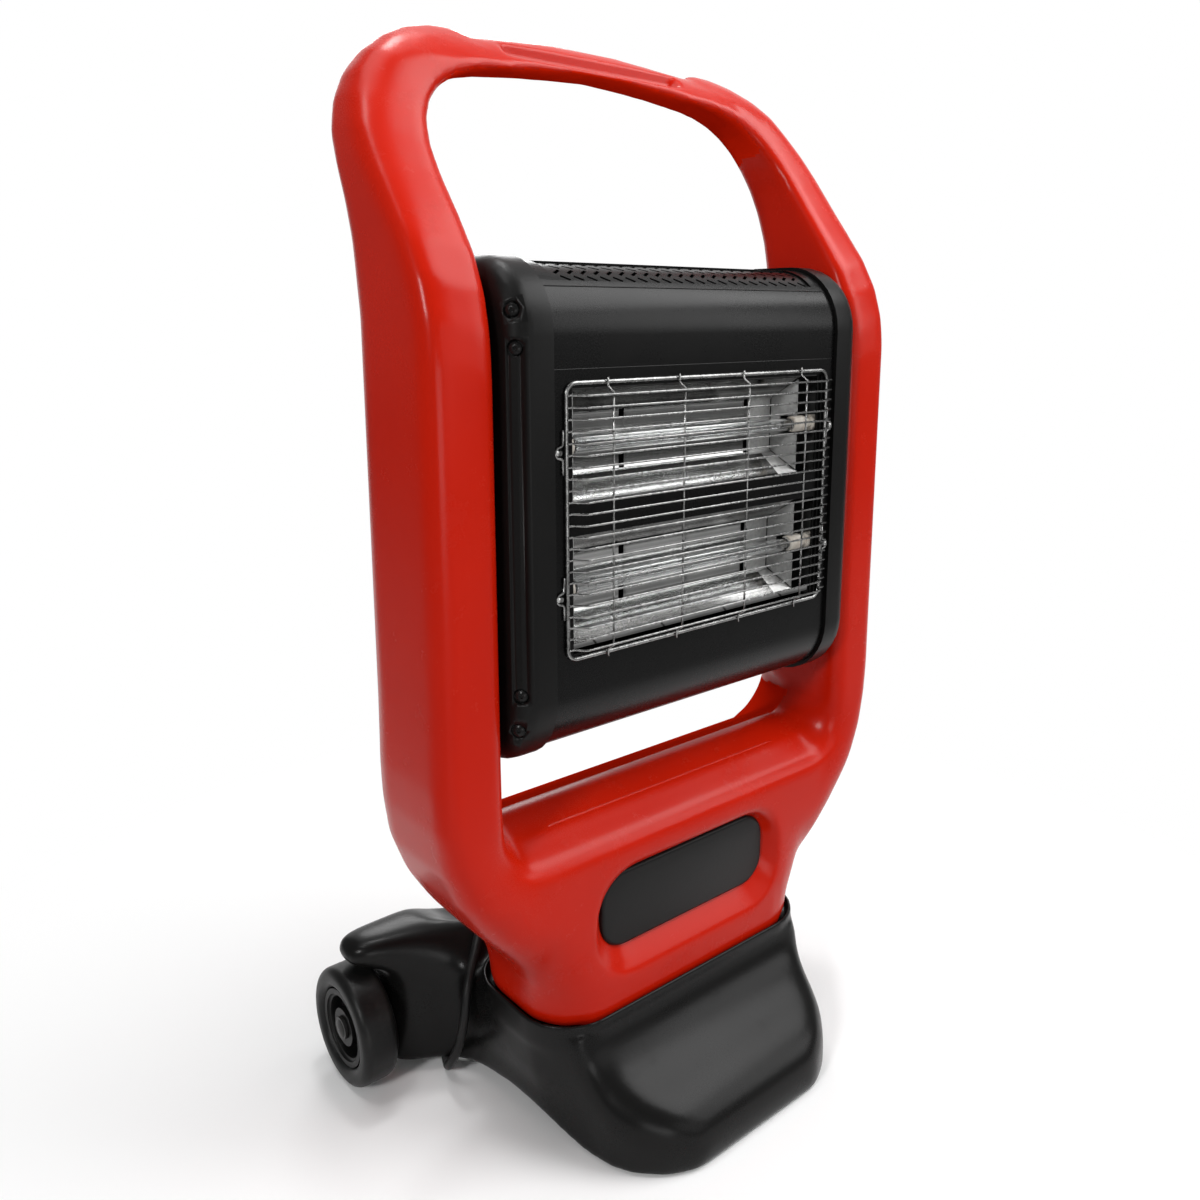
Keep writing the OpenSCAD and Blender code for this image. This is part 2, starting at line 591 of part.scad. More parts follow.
module end_cap(s) {
    i = -cap_proud;
    x0 = s * casing_w / 2;
    rim = [for (k = [0 : 6]) [cap_rim * (1 - cos(15 * k)), cap_rim * sin(15 * k)]];
    loops = concat([d_loop(i, x0)],
        [for (k = rim) d_loop(i + k[0], s * (cap_x - cap_rim + k[1]))]);
    in_place() difference() {
        union() {
            difference() {
                run_solid(loops);
                if (s > 0) side_plate(x0 - 2, cap_x - cap_wall) d_profile(i + cap_wall);
                else side_plate(-cap_x + cap_wall, x0 + 2) d_profile(i + cap_wall);
            }
            x_rod(s > 0 ? x0 + 2 : -cap_x + 2, s > 0 ? cap_x - 2 : x0 - 2, tilt_y, tilt_z, 34);
        }
        x_rod(min(x0, s * cap_x) - 8, max(x0, s * cap_x) + 8, tilt_y, tilt_z, pin_d + 2 * run_fit);
        for (z = screw_z) at_screw(s, z) {
            cylinder(h = 3 * recess_h, d = recess_d);
            translate([0, 0, -6]) cylinder(h = 7, d = 4);
        }
    }
}

// Cap wall, and the cap screws: place round the rim, recess, heights of the pairs from the tilt axis
cap_wall = 9;
screw_a = 50;
recess_d = 11.5;
recess_h = 3;
screw_out = 141;
screw_in = 117;
screw_low = 143;
screw_z = [tilt_z + screw_out, tilt_z + screw_in, tilt_z - screw_in, tilt_z - screw_low];

// Depth of the cap's front at a height, drawn inward by i
function cap_front(z, i) =
    let (r = casing_r + cap_proud - i, up = max(0, abs(z - tilt_z) - casing_h / 2 + casing_r))
    casing_front + casing_r - sqrt(r * r - up * up);

// Seat of a cap screw: the floor of a recess in the rounded rim
module at_screw(s, z) {
    translate([s * (cap_x - cap_rim * (1 - sin(screw_a))), cap_front(z, cap_rim * (1 - cos(screw_a))), z])
        rotate([90, 0, s * screw_a]) translate([0, 0, -recess_h]) children();
}

module end_cap_right() {
    color("black") end_cap(1);
}

module end_cap_left() {
    color("black") end_cap(-1);
}

module cap_screw(s, z) {
    at_screw(s, z) {
        difference() {
            union() {
                cylinder(h = 1.2, d = 9);
                intersection() {
                    cylinder(h = 2.8, d = 9);
                    translate([0, 0, -4.4]) sphere(7.2);
                }
            }
            translate([0, 0, 1.6]) cylinder(h = 3, d = 2.6);
        }
        translate([0, 0, -5]) cylinder(h = 5.5, d = 4);
    }
}

module cap_screws_right() {
    color("dimgray") in_place() for (z = screw_z) cap_screw(1, z);
}

module cap_screws_left() {
    color("dimgray") in_place() for (z = screw_z) cap_screw(-1, z);
}

panel_in = casing_front + sheet_t;
bezel_t = 1.5;
tray_y = panel_in + bezel_t;
lamp_pitch = tray_h + divider_h - 1;
lamp_y = tray_y + tube_d / 2 + 1;
end_d = 13;
tube_l = tray_w - 4;
bracket_x = window_w / 2 + 4;

module lamp_bezel() {
    color("black") in_place() {
        translate([0, 0, window_z]) front_plate(panel_in, tray_y) difference() {
            square([window_w + 20, window_h + 18], center = true);
            square([window_w - 6, window_h], center = true);
        }
        translate([0, 0, tilt_z]) front_plate(panel_in, tray_y) square([window_w, divider_h], center = true);
    }
}

function box_loop(w, h, y, z) =
    [[w / 2, y, z + h / 2], [-w / 2, y, z + h / 2], [-w / 2, y, z - h / 2], [w / 2, y, z - h / 2]];

// Folded tray with leaning walls and a long lip above and below its mouth
tray_lean = 17;
flap_lean = 9;
lip_h = 3.5;
foil_t = 0.8;

module reflector(s) {
    z = tilt_z + s * lamp_pitch / 2;
    w = tray_w;
    h = tray_h;
    back_w = w - 2 * flap_lean;
    back_h = h - 2 * tray_lean;
    in_place() difference() {
        union() {
            run_solid([box_loop(w, h, tray_y, z), box_loop(back_w, back_h, tray_y + tray_d, z)]);
            translate([0, 0, z]) front_plate(tray_y, tray_y + foil_t)
                square([window_w - 4, h + 2 * lip_h], center = true);
        }
        run_solid([box_loop(w - 2 * foil_t, h - 2 * foil_t, tray_y - 0.01, z),
            box_loop(back_w - 2 * foil_t, back_h - 2 * foil_t, tray_y + tray_d - foil_t, z)]);
        for (m = [-1, 1]) translate([m * (tray_w / 2 + 15), 0, z])
            front_plate(tray_y - 1, tray_y + 2) square([30, h], center = true);
        x_rod(-window_w / 2, window_w / 2, lamp_y, z, end_d + 2);
    }
}

module reflector_upper() {
    color("white") reflector(1);
}

module reflector_lower() {
    color("white") reflector(-1);
}

module quartz(s) {
    in_place() difference() {
        x_rod(-tube_l / 2, tube_l / 2, lamp_y, tilt_z + s * lamp_pitch / 2, tube_d);
        x_rod(-tube_l / 2 - 1, tube_l / 2 + 1, lamp_y, tilt_z + s * lamp_pitch / 2, tube_d - 2.4);
    }
}

module lamp_upper() {
    color("lightblue") quartz(1);
}

module lamp_lower() {
    color("lightblue") quartz(-1);
}

module filament(s) {
    in_place() x_rod(-tube_l / 2, tube_l / 2, lamp_y, tilt_z + s * lamp_pitch / 2, 2.4);
}

module filament_upper() {
    color("gray") filament(1);
}

module filament_lower() {
    color("gray") filament(-1);
}

// Ceramic end from the end of the glass to the bracket, with a waist between two shares of that room
waist_from = 0.49;
waist_to = 0.72;
waist_d = 8;

module lamp_end_pair(s) {
    z = tilt_z + s * lamp_pitch / 2;
    x0 = tube_l / 2;
    xa = part_of(x0, bracket_x, waist_from);
    xb = part_of(x0, bracket_x, waist_to);
    in_place() for (m = [0, 1]) mirror([m, 0, 0]) {
        x_rod(x0, xa, lamp_y, z, end_d);
        x_rod(xa, xb, lamp_y, z, waist_d);
        x_rod(xb, bracket_x, lamp_y, z, end_d);
    }
}

module lamp_ends_upper() {
    color("ivory") lamp_end_pair(1);
}

module lamp_ends_lower() {
    color("ivory") lamp_end_pair(-1);
}

bracket_d = 46;

module lamp_brackets() {
    color("gray") in_place() for (s = [-1, 1])
        translate([s * (bracket_x + 0.75), tray_y + bracket_d / 2, window_z])
            cube([1.5, bracket_d, window_h + 8], center = true);
}

module rim_corner(x, z, a) {
    translate([x, 0, z]) rotate([90, 0, 0]) rotate([0, 0, a]) rotate_extrude(angle = 90)
        translate([rim_r, 0]) circle(d = rim_wire);
}

rim_y = casing_front - rim_wire / 2;
rim_r = 8;
clip_z = [50, -51];

module guard_rim() {
    color("silver") in_place() translate([0, rim_y, window_z]) {
        for (s = [-1, 1]) {
            x_rod(-rim_w / 2 + rim_r, rim_w / 2 - rim_r, 0, s * rim_h / 2, rim_wire);
            translate([s * rim_w / 2, 0, -rim_h / 2 + rim_r]) cylinder(h = rim_h - 2 * rim_r, d = rim_wire);
        }
        rim_corner(rim_w / 2 - rim_r, rim_h / 2 - rim_r, 0);
        rim_corner(-rim_w / 2 + rim_r, rim_h / 2 - rim_r, 90);
        rim_corner(-rim_w / 2 + rim_r, -rim_h / 2 + rim_r, 180);
        rim_corner(rim_w / 2 - rim_r, -rim_h / 2 + rim_r, 270);
    }
}

bar_back = rim_y - rim_wire / 2 - bar_wire / 2;
function bar_path(z) = let (e = rim_w / 2)
    [[-e - 0.5, bar_back, z], [-e + 2, bar_back, z], [-e + 4, bar_back - 0.8, z], [-e + 9, -bar_out + 0.8, z],
        [-e + 11, -bar_out, z], [e - 11, -bar_out, z], [e - 9, -bar_out + 0.8, z], [e - 4, bar_back - 0.8, z],
        [e - 2, bar_back, z], [e + 4, bar_back, z]];

module guard_bars() {
    color("silver") in_place() for (k = [0 : bar_n - 1])
        let (z = window_z + (k / (bar_n - 1) - 0.5) * (rim_h - 2 * rim_r))
            run_solid(tube_loops(bar_path(z), bar_wire / 2, 6, [0, 0, 1]));
}

stay_y = -bar_out + bar_wire;
// Places of the upright stays across the rim, as shares of its width
stay_at = [-0.373, -0.125, 0.125, 0.373];
function stay_path(x) = let (e = rim_h / 2, z = window_z)
    [[x, bar_back, z - e - 3], [x, bar_back, z - e + 2], [x, bar_back - 0.6, z - e + 3.5],
        [x, stay_y, z - e + 6.5], [x, stay_y, z + e - 6.5], [x, bar_back - 0.6, z + e - 3.5],
        [x, bar_back, z + e - 2], [x, bar_back, z + e + 3]];

module guard_stays() {
    color("silver") in_place() for (k = stay_at)
        run_solid(tube_loops(stay_path(k * rim_w), bar_wire / 2, 6, [1, 0, 0]));
}

// Wire clip beside the rim with a bow round its screw
clip_wire = 2;
clip_x = rim_w / 2 + rim_wire / 2 + clip_wire / 2 + 0.2;
clip_y = casing_front - clip_wire / 2;
clip_half = [[0, 15], [0, 5.5], [1.2, 4.2], [4.6, 3.2], [6.2, 1.4]];
clip_line = concat(clip_half, [for (k = [len(clip_half) - 1 : -1 : 0]) [clip_half[k][0], -clip_half[k][1]]]);

module guard_clips() {
    color("silver") in_place() for (m = [0, 1], z = clip_z) mirror([m, 0, 0]) {
        run_solid(tube_loops([for (p = clip_line) [clip_x + p[0], clip_y, window_z + z + p[1]]],
            clip_wire / 2, 6, [0, 1, 0]));
        y_rod(casing_front - 1.6, casing_front, clip_x + 2.4, window_z + z, 3.4);
    }
}

panel_w = casing_w - 42;
panel_h = casing_h - 79;
panel_t = 1.2;
slot_w = 180;

module rear_panel() {
    color("black") in_place() difference() {
        translate([0, 0, tilt_z]) front_plate(casing_back, casing_back + panel_t)
            round_rect(panel_w, panel_h, 8);
        for (k = [0 : 9]) translate([0, 0, tilt_z + 30 + 9 * k])
            front_plate(casing_back - 1, casing_back + 3) round_rect(slot_w, 4, 1.9);
    }
}

module panel_screws() {
    color("silver") in_place() for (x = [-1, 1], z = [-1, 0, 1])
        y_rod(casing_back + panel_t, casing_back + panel_t + 2, x * (panel_w / 2 - 9),
            tilt_z + z * (panel_h / 2 - 10), 7);
}

box_y = casing_back + panel_t;
box_d = 24;
box_w = 92;
box_h = 52;
box_drop = 70;
box_z = tilt_z - box_drop;
rocker_x = 20;
well_d = 16;
axis_y = box_y + box_d - 4;
rocker_pin = 3;

module switch_box() {
    color("black") in_place() difference() {
        translate([0, 0, box_z]) front_plate(box_y, box_y + box_d) round_rect(box_w, box_h, 8);
        for (s = [-1, 1]) translate([s * rocker_x, box_y + box_d, box_z])
            cube([rocker_w + 2 * gap, 2 * well_d, rocker_h + 2 * gap], center = true);
        for (s = [-1, 1])
            x_rod(s * rocker_x - rocker_w / 2 - 4, s * rocker_x + rocker_w / 2 + 4, axis_y, box_z,
                rocker_pin + 2 * run_fit);
    }
}

module rocker(s) {
    x0 = s * rocker_x - rocker_w / 2;
    x1 = s * rocker_x + rocker_w / 2;
    in_place() {
        intersection() {
            side_plate(x0, x1) translate([axis_y, box_z]) circle(d = rocker_h);
            side_plate(x0, x1) translate([axis_y, box_z])
                polygon([[-6, -rocker_h], [3.5, -rocker_h], [3.5, 0], [6, rocker_h * 0.48], [6, rocker_h],
                    [-6, rocker_h]]);
        }
        x_rod(x0 - 3.5, x1 + 3.5, axis_y, box_z, rocker_pin);
    }
}

module rocker_right() {
    color("red") rocker(1);
}

module rocker_left() {
    color("red") rocker(-1);
}

// Cord route from the gland down the side of the base, under it and out to the coil
floor_z = cord_d / 2 + 0.2;
coil_x = 20;
coil_y = 309;
coil_z = cord_d / 2 + 1.2;
layer = cord_d + 0.7;
pitch = cord_d + 1.6;
cord_pts = [[gland_x, gland_y + gland_l, gland_z], [gland_x, gland_y + gland_l + 10, gland_z],
    [-28.5, 185, 139.5], [-41, 197.5, 138], [-58, 202, 135.5], [-75, 197.5, 132.5], [-89, 184.5, 130],
    [-104, 167, 127], [-121, 149, 119], [-134, 136.5, 110], [-145.5, 126.5, 100], [-154, 119.5, 87],
    [-158, 117, 71], [-160, 119, 54], [-162, 123.5, 38], [-163, 130.5, 24], [-161.5, 139.5, 12.5],
    [-157, 150, 6.2], [-151, 162, floor_z], [-138, 186, floor_z], [-118, 214, floor_z], [-94, 235, floor_z],
    [-64, 248, floor_z], [-30, coil_y - coil_r, coil_z - 0.3], [coil_x - 12, coil_y - coil_r, coil_z]];
function cr(p, i, t) =
    let (n = len(p) - 1, a = p[max(i - 1, 0)], b = p[i], c = p[i + 1], d = p[min(i + 2, n)])
    0.5 * (2 * b + (c - a) * t + (2 * a - 5 * b + 4 * c - d) * t * t + (3 * b - a - 3 * c + d) * t * t * t);
function off_floor(p) = [p[0], p[1], max(p[2], floor_z)];
cord_path = concat(
    [for (i = [0 : len(cord_pts) - 2]) for (t = [0, 0.34, 0.67]) off_floor(cr(cord_pts, i, t))],
    [cord_pts[len(cord_pts) - 1]]);
function turn_r(u) = coil_r - pitch * (u < coil_turns ? u : 2 * coil_turns - u);
function turn_at(u) = [coil_x + turn_r(u) * sin(360 * u), coil_y - turn_r(u) * cos(360 * u),
    coil_z + layer * smooth((u - coil_turns + 0.25) / 0.5)];
plug_x = coil_x + 86;
plug_y = coil_y - coil_r;
plug_z = coil_z + layer;
relief_l = 22;
coil_path = concat([[coil_x - 12, plug_y, coil_z], [coil_x - 4, plug_y, coil_z]],
    [for (k = [1 : 24 * 2 * coil_turns - 1]) turn_at(k / 24)],
    [[coil_x + 4, plug_y, plug_z], [coil_x + 24, plug_y, plug_z], [coil_x + 44, plug_y, plug_z],
        [plug_x - relief_l, plug_y, plug_z]]);
function run_length(p) = sum([for (i = [1 : len(p) - 1]) norm(p[i] - p[i - 1])]);
coil_gap = min([for (i = [0 : len(coil_path) - 1]) for (j = [i + 12 : len(coil_path) - 2])
    seg_dist(coil_path[i], coil_path[j], coil_path[j + 1])]) - cord_d;
echo(cord_length = run_length(cord_path) + run_length(coil_path), coil_gap = coil_gap);

module cord_run() {
    color("black") in_place() run_solid(tube_loops(cord_path, cord_d / 2, 8, [0, 0, 1]));
}

module cord_coil() {
    color("black") in_place() run_solid(tube_loops(coil_path, cord_d / 2, 6, [0, 0, 1]));
}

module cord_tie() {
    w = turn_r(0.5) - turn_r(coil_turns) + cord_d + 1.2;
    h = layer + cord_d + 1;
    y = coil_y + (turn_r(0.5) + turn_r(coil_turns)) / 2;
    color("black") in_place() translate([coil_x - 3, y, coil_z + layer / 2])
        rotate([90, 0, 90]) linear_extrude(6) difference() {
            round_rect(w + 1.2, h + 1.2, 4);
            round_rect(w, h, 3.4);
        }
}

module plug_body() {
    color("black") in_place() {
        translate([plug_x + 24, plug_y, 0]) difference() {
            linear_extrude(28) round_rect(48, 46, 9);
            for (p = plug_pin_at) translate([p[0], p[1], pin_seat]) linear_extrude(12)
                square([p[2], p[3]], center = true);
        }
        translate([plug_x - relief_l, plug_y, plug_z]) rotate([0, 90, 0])
            cylinder(h = relief_l + 1, d1 = cord_d + 1.5, d2 = 14);
    }
}

// Pins of the plug: place, size and length of each, and the height at which they stand in the body
plug_pin_at = [[12, 0, 8, 4, 32], [-10, 11, 4, 6.3, 27], [-10, -11, 4, 6.3, 27]];
pin_seat = 18;

module plug_pins() {
    color("gold") in_place() translate([plug_x + 24, plug_y, 0]) for (p = plug_pin_at)
        translate([p[0], p[1], pin_seat]) linear_extrude(p[4]) square([p[2], p[3]], center = true);
}

frame_moulding();
badge_plate();
base_moulding();
neck_bolts();
axle_rod();
wheel_right();
wheel_left();
tyre_right();
tyre_left();
hub_cap_right();
hub_cap_left();
pivot_pin_right();
pivot_pin_left();
pivot_washer_right();
pivot_washer_left();
cable_gland();
head_casing();
top_vent();
end_cap_right();
end_cap_left();
cap_screws_right();
cap_screws_left();
lamp_bezel();
reflector_upper();
reflector_lower();
lamp_upper();
lamp_lower();
filament_upper();
filament_lower();
lamp_ends_upper();
lamp_ends_lower();
lamp_brackets();
guard_rim();
guard_bars();
guard_stays();
guard_clips();
rear_panel();
panel_screws();
switch_box();
rocker_right();
rocker_left();
cord_run();
cord_coil();
cord_tie();
plug_body();
plug_pins();
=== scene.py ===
# %% [markdown]
# A wheeled infrared heater is dressed here over its imported CAD frame: a moulded red ring frame, a black
# foot with two wheels, and a sheet metal head with two quartz lamps that tilts between the columns.
# The frame is loaded first.

# %% Load the frame
import json
import math

import bmesh
import bpy
from mathutils import Matrix, Vector
from mathutils.bvhtree import BVHTree


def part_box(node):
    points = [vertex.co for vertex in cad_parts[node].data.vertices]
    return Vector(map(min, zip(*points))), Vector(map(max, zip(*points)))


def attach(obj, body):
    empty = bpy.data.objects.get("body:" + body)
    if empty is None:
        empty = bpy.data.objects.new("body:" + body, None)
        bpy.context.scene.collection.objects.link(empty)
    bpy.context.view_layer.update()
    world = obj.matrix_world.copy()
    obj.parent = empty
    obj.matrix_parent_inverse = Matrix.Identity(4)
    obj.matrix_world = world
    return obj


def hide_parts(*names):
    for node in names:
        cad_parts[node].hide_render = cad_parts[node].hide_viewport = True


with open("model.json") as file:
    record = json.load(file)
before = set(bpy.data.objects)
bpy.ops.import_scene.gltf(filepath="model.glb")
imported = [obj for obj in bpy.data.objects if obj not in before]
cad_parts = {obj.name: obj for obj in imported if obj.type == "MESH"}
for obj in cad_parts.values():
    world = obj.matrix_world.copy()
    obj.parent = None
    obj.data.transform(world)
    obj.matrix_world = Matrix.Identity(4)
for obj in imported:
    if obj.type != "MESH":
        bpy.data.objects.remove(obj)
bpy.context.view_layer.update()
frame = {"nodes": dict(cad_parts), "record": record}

MM = 0.001
NODES = frame["nodes"]

# %% [markdown]
# The camera stands where the photographer stood: to the left of the heater, a little above the head, with
# a short lens. A focal length is easiest to carry over as pixels of the square picture, so it is turned
# into millimetres of a 36 mm sensor, and the small shift puts the optical axis where the picture has it.

# %% Camera
PICTURE = 1200
FOCAL_PIXELS = 1045
AXIS_PIXEL = (611, 529)
SENSOR = 36.0
CAMERA_PLACE = (-0.560, -0.6355, 0.640)
CAMERA_YAW = math.radians(40.09)
CAMERA_DIP = math.radians(11.55)

lens = bpy.data.cameras.new("photo_camera")
lens.sensor_width = SENSOR
lens.lens = SENSOR * FOCAL_PIXELS / PICTURE
lens.shift_x = (PICTURE / 2 - AXIS_PIXEL[0]) / PICTURE
lens.shift_y = (AXIS_PIXEL[1] - PICTURE / 2) / PICTURE
camera = bpy.data.objects.new("photo_camera", lens)
camera.location = CAMERA_PLACE
camera.rotation_euler = (math.pi / 2 - CAMERA_DIP, 0, -CAMERA_YAW)
bpy.context.collection.objects.link(camera)
bpy.context.scene.camera = camera
print("camera lens", round(lens.lens, 2), "mm")

# %% [markdown]
# The mains lead is a fixed length of rubber flex. It leaves the gland behind the neck, bends round behind
# the base, drops in front of the left wheel and runs under the base to a tied coil behind the heater. A
# curve through listed points keeps the bends soft, and the coil is worked out by a loop, so the lead
# stays one unbroken spline from gland to plug.

# %% Cord route
CORD_D = 8 * MM
FLOOR_Z = CORD_D / 2 + 0.2 * MM
COIL_AT = Vector((0.020, 0.2225, CORD_D / 2 + 1.2 * MM))
CORD_ROUTE = [
    (-0.024, 0.0715, 0.14), (-0.024, 0.0815, 0.14), (-0.0285, 0.0985, 0.1395), (-0.041, 0.111, 0.138),
    (-0.058, 0.1155, 0.1355), (-0.075, 0.111, 0.1325), (-0.089, 0.098, 0.13), (-0.104, 0.0805, 0.127),
    (-0.121, 0.0625, 0.119), (-0.134, 0.05, 0.11), (-0.1455, 0.04, 0.1), (-0.154, 0.033, 0.087),
    (-0.158, 0.0305, 0.071), (-0.16, 0.0325, 0.054), (-0.162, 0.037, 0.038), (-0.163, 0.044, 0.024),
    (-0.1615, 0.053, 0.0125), (-0.157, 0.0635, 0.0062), (-0.151, 0.0755, FLOOR_Z),
    (-0.138, 0.0995, FLOOR_Z), (-0.118, 0.1275, FLOOR_Z), (-0.094, 0.1485, FLOOR_Z),
    (-0.064, 0.1615, FLOOR_Z), (-0.03, 0.1665, 0.0049), (0.008, 0.1665, COIL_AT.z)]
print("lead placed by hand through", len(CORD_ROUTE), "points")

# %% Cord coil
COIL_R = 56 * MM
COIL_TURNS = 2.5
COIL_STEPS = 24
COIL_PITCH = CORD_D + 1.6 * MM
COIL_LAYER = CORD_D + 0.7 * MM
COIL_LEAD = 4 * MM
CLIMB_TURNS = 0.5
PLUG_REACH = 64 * MM


def ease(t):
    """Smooth step from 0 to 1."""
    t = max(0.0, min(1.0, t))
    return t * t * (3 - 2 * t)


def coil_point(turn):
    """Place of the lead after so many turns: inwards on the floor, then outwards on top."""
    inward = turn if turn < COIL_TURNS else 2 * COIL_TURNS - turn
    radius = COIL_R - COIL_PITCH * inward
    climb = COIL_LAYER * ease((turn - COIL_TURNS + CLIMB_TURNS / 2) / CLIMB_TURNS)
    angle = 2 * math.pi * turn
    return COIL_AT + Vector((radius * math.sin(angle), -radius * math.cos(angle), climb))


coil_start = COIL_AT + Vector((-COIL_LEAD, -COIL_R, 0))
coil_end = COIL_AT + Vector((COIL_LEAD, -COIL_R, COIL_LAYER))
cord_points = [Vector(p) for p in CORD_ROUTE] + [coil_start]
cord_points += [coil_point(k / COIL_STEPS) for k in range(1, int(2 * COIL_TURNS * COIL_STEPS))]
cord_points += [coil_end + Vector((d, 0, 0)) for d in (0, 20 * MM, 40 * MM, PLUG_REACH - COIL_LEAD)]


# %% Cord curve
def wire_curve(name, paths, thickness, closed=False, sides=6, kind="BEZIER"):
    """Round wire along lists of points, one spline for each list."""
    curve = bpy.data.curves.new(name, "CURVE")
    curve.dimensions = "3D"
    curve.bevel_depth = thickness / 2
    curve.bevel_resolution = sides
    curve.resolution_u = 6
    curve.use_fill_caps = True
    for path in paths:
        spline = curve.splines.new(kind)
        points = spline.bezier_points if kind == "BEZIER" else spline.points
        points.add(len(path) - 1)
        for point, place in zip(points, path):
            if kind == "BEZIER":
                point.co = place
                point.handle_left_type = point.handle_right_type = "AUTO"
            else:
                point.co = (*place, 1.0)
        spline.use_cyclic_u = closed
    piece = bpy.data.objects.new(name, curve)
    bpy.context.collection.objects.link(piece)
    return piece


cord = wire_curve("mains_cord", [cord_points], CORD_D)
print("cord curve", cord.name, "through", len(cord_points), "points")

# %% [markdown]
# A finish is a small graph of shader nodes. Python can write that graph as sums: a class wraps an output
# socket, and its operators add Math nodes, so a line such as 0.3 + 0.1 * grain reads like the formula it
# stands for. One method makes every other node from its type, its settings and its sockets.


# %% Shader values
class Wire:
    """A value that flows along a shader link."""

    def __init__(self, graph, socket):
        self.graph = graph
        self.socket = socket

    def sum(self, operation, first, second):
        return self.graph.add("ShaderNodeMath", {"operation": operation}, {0: first, 1: second})

    def __add__(self, other):
        return self.sum("ADD", self, other)

    def __radd__(self, other):
        return self.sum("ADD", other, self)

    def __sub__(self, other):
        return self.sum("SUBTRACT", self, other)

    def __rsub__(self, other):
        return self.sum("SUBTRACT", other, self)

    def __mul__(self, other):
        return self.sum("MULTIPLY", self, other)

    def __rmul__(self, other):
        return self.sum("MULTIPLY", other, self)

    def __gt__(self, other):
        return self.sum("GREATER_THAN", self, other)


print("shader values can be added, taken away, multiplied and compared")


# %% Shader nodes
class Graph:
    """A node tree that is written node by node."""

    def __init__(self, tree):
        self.tree = tree

    def feed(self, socket, value):
        if isinstance(value, Wire):
            self.tree.links.new(value.socket, socket)
        else:
            socket.default_value = value

    def add(self, kind, settings=None, sockets=None, out=0):
        """Makes a node of this kind, sets it up, feeds its sockets and returns one of its outputs."""
        node = self.tree.nodes.new(kind)
        for key, value in (settings or {}).items():
            setattr(node, key, value)
        for key, value in (sockets or {}).items():
            self.feed(node.inputs[key], value)
        return Wire(self, node.outputs[out])


print("shader nodes can be added")


# %% Finishes
class Finish(Graph):
    """A material with one Principled surface, patterned by where a point lies on the object."""

    def __init__(self, slot, name=None, **constants):
        self.material = bpy.data.materials.new((name or slot) + "_finish")
        self.material["slot"] = slot
        self.material.use_nodes = True
        super().__init__(self.material.node_tree)
        self.surface = self.tree.nodes["Principled BSDF"]
        self.place = self.add("ShaderNodeTexCoord", out="Object")
        self.wear(**constants)

    def wear(self, **sockets):
        for name, value in sockets.items():
            self.feed(self.surface.inputs[name.replace("_", " ")], value)

    def noise(self, size, detail=2.0, stretch=(1, 1, 1), rough=0.5):
        """Cloudy pattern whose spots are about size metres across."""
        where = self.add("ShaderNodeMapping", {}, {"Vector": self.place, "Scale": stretch})
        return self.add("ShaderNodeTexNoise", {},
                        {"Vector": where, "Scale": 1 / size, "Detail": detail, "Roughness": rough})

    def ramp(self, value, low, high):
        """Carries value from 0 at low to 1 at high."""
        return self.add("ShaderNodeMapRange", {"clamp": True},
                        {"Value": value, "From Min": low, "From Max": high})

    def mix(self, mask, first, second):
        return self.add("ShaderNodeMix", {"data_type": "RGBA"}, {0: mask, 6: first, 7: second}, out=2)

    def relief(self, height, depth):
        normal = self.add("ShaderNodeBump", {}, {"Height": height, "Distance": depth, "Strength": 1.0})
        self.wear(Normal=normal)


print("finishes can be mixed")

# %% [markdown]
# The red ring and the black foot are rotationally moulded plastic. Such a skin is never optically flat: it
# has a slow orange peel from the mould and a fine grain from the powder that melted against it. Both are
# noise at their real sizes, in metres, so the grain stays the same on every piece.

# %% Moulded plastic
CLOUD, SCUFF, PEEL, GRAIN = 90 * MM, 30 * MM, 4.5 * MM, 0.7 * MM


def colour(red, green, blue):
    return (red, green, blue, 1.0)


def moulded_plastic(slot, deep, bright, gloss, depth, shine=0.15, name=None):
    finish = Finish(slot, name, IOR=1.5, Specular_IOR_Level=shine)
    cloud = finish.noise(CLOUD, detail=3)
    peel = finish.noise(PEEL, detail=2)
    fine = finish.noise(GRAIN, detail=2)
    scuff = finish.ramp(finish.noise(SCUFF, detail=8, rough=0.7), 0.56, 0.78)
    finish.wear(Base_Color=finish.mix(cloud, deep, bright),
                Roughness=gloss + 0.08 * cloud + 0.08 * scuff + 0.04 * fine)
    finish.relief(0.8 * peel + 0.2 * fine, depth)
    return finish.material


def dark_plastic(slot, tone, gloss, depth):
    """Black plastic, a touch warm, a little lighter in slow clouds."""
    return moulded_plastic(slot, colour(tone, 0.97 * tone, 0.94 * tone),
                           colour(1.6 * tone, 1.56 * tone, 1.52 * tone), gloss, depth)


print("moulded skin has a peel of", PEEL / MM, "mm and a grain of", GRAIN / MM, "mm")

# %% Red and black mouldings
DEEP_RED, BRIGHT_RED = colour(0.46, 0.0085, 0.0010), colour(0.53, 0.0120, 0.0016)
# The matt red is lighter than the glossy red: painted light on faces that lie in shade.
DEEP_MATT_PAINTED_LIGHT, BRIGHT_MATT_PAINTED_LIGHT = colour(0.58, 0.0120, 0.0016), colour(0.66, 0.0160, 0.0024)
DEEP_ROCKER, BRIGHT_ROCKER = colour(0.36, 0.010, 0.004), colour(0.44, 0.014, 0.006)
red_shell = moulded_plastic("red_shell", DEEP_RED, BRIGHT_RED, 0.20, 0.06 * MM)
red_matt_painted_light = moulded_plastic("red_shell", DEEP_MATT_PAINTED_LIGHT, BRIGHT_MATT_PAINTED_LIGHT, 0.45, 0.06 * MM, shine=0.0, name="red_matt_painted_light")
rocker_red = moulded_plastic("rocker_red", DEEP_ROCKER, BRIGHT_ROCKER, 0.22, 0.04 * MM)
black_shell = dark_plastic("black_shell", 0.0042, 0.22, 0.08 * MM)
cap_black = dark_plastic("cap_black", 0.0030, 0.32, 0.08 * MM)
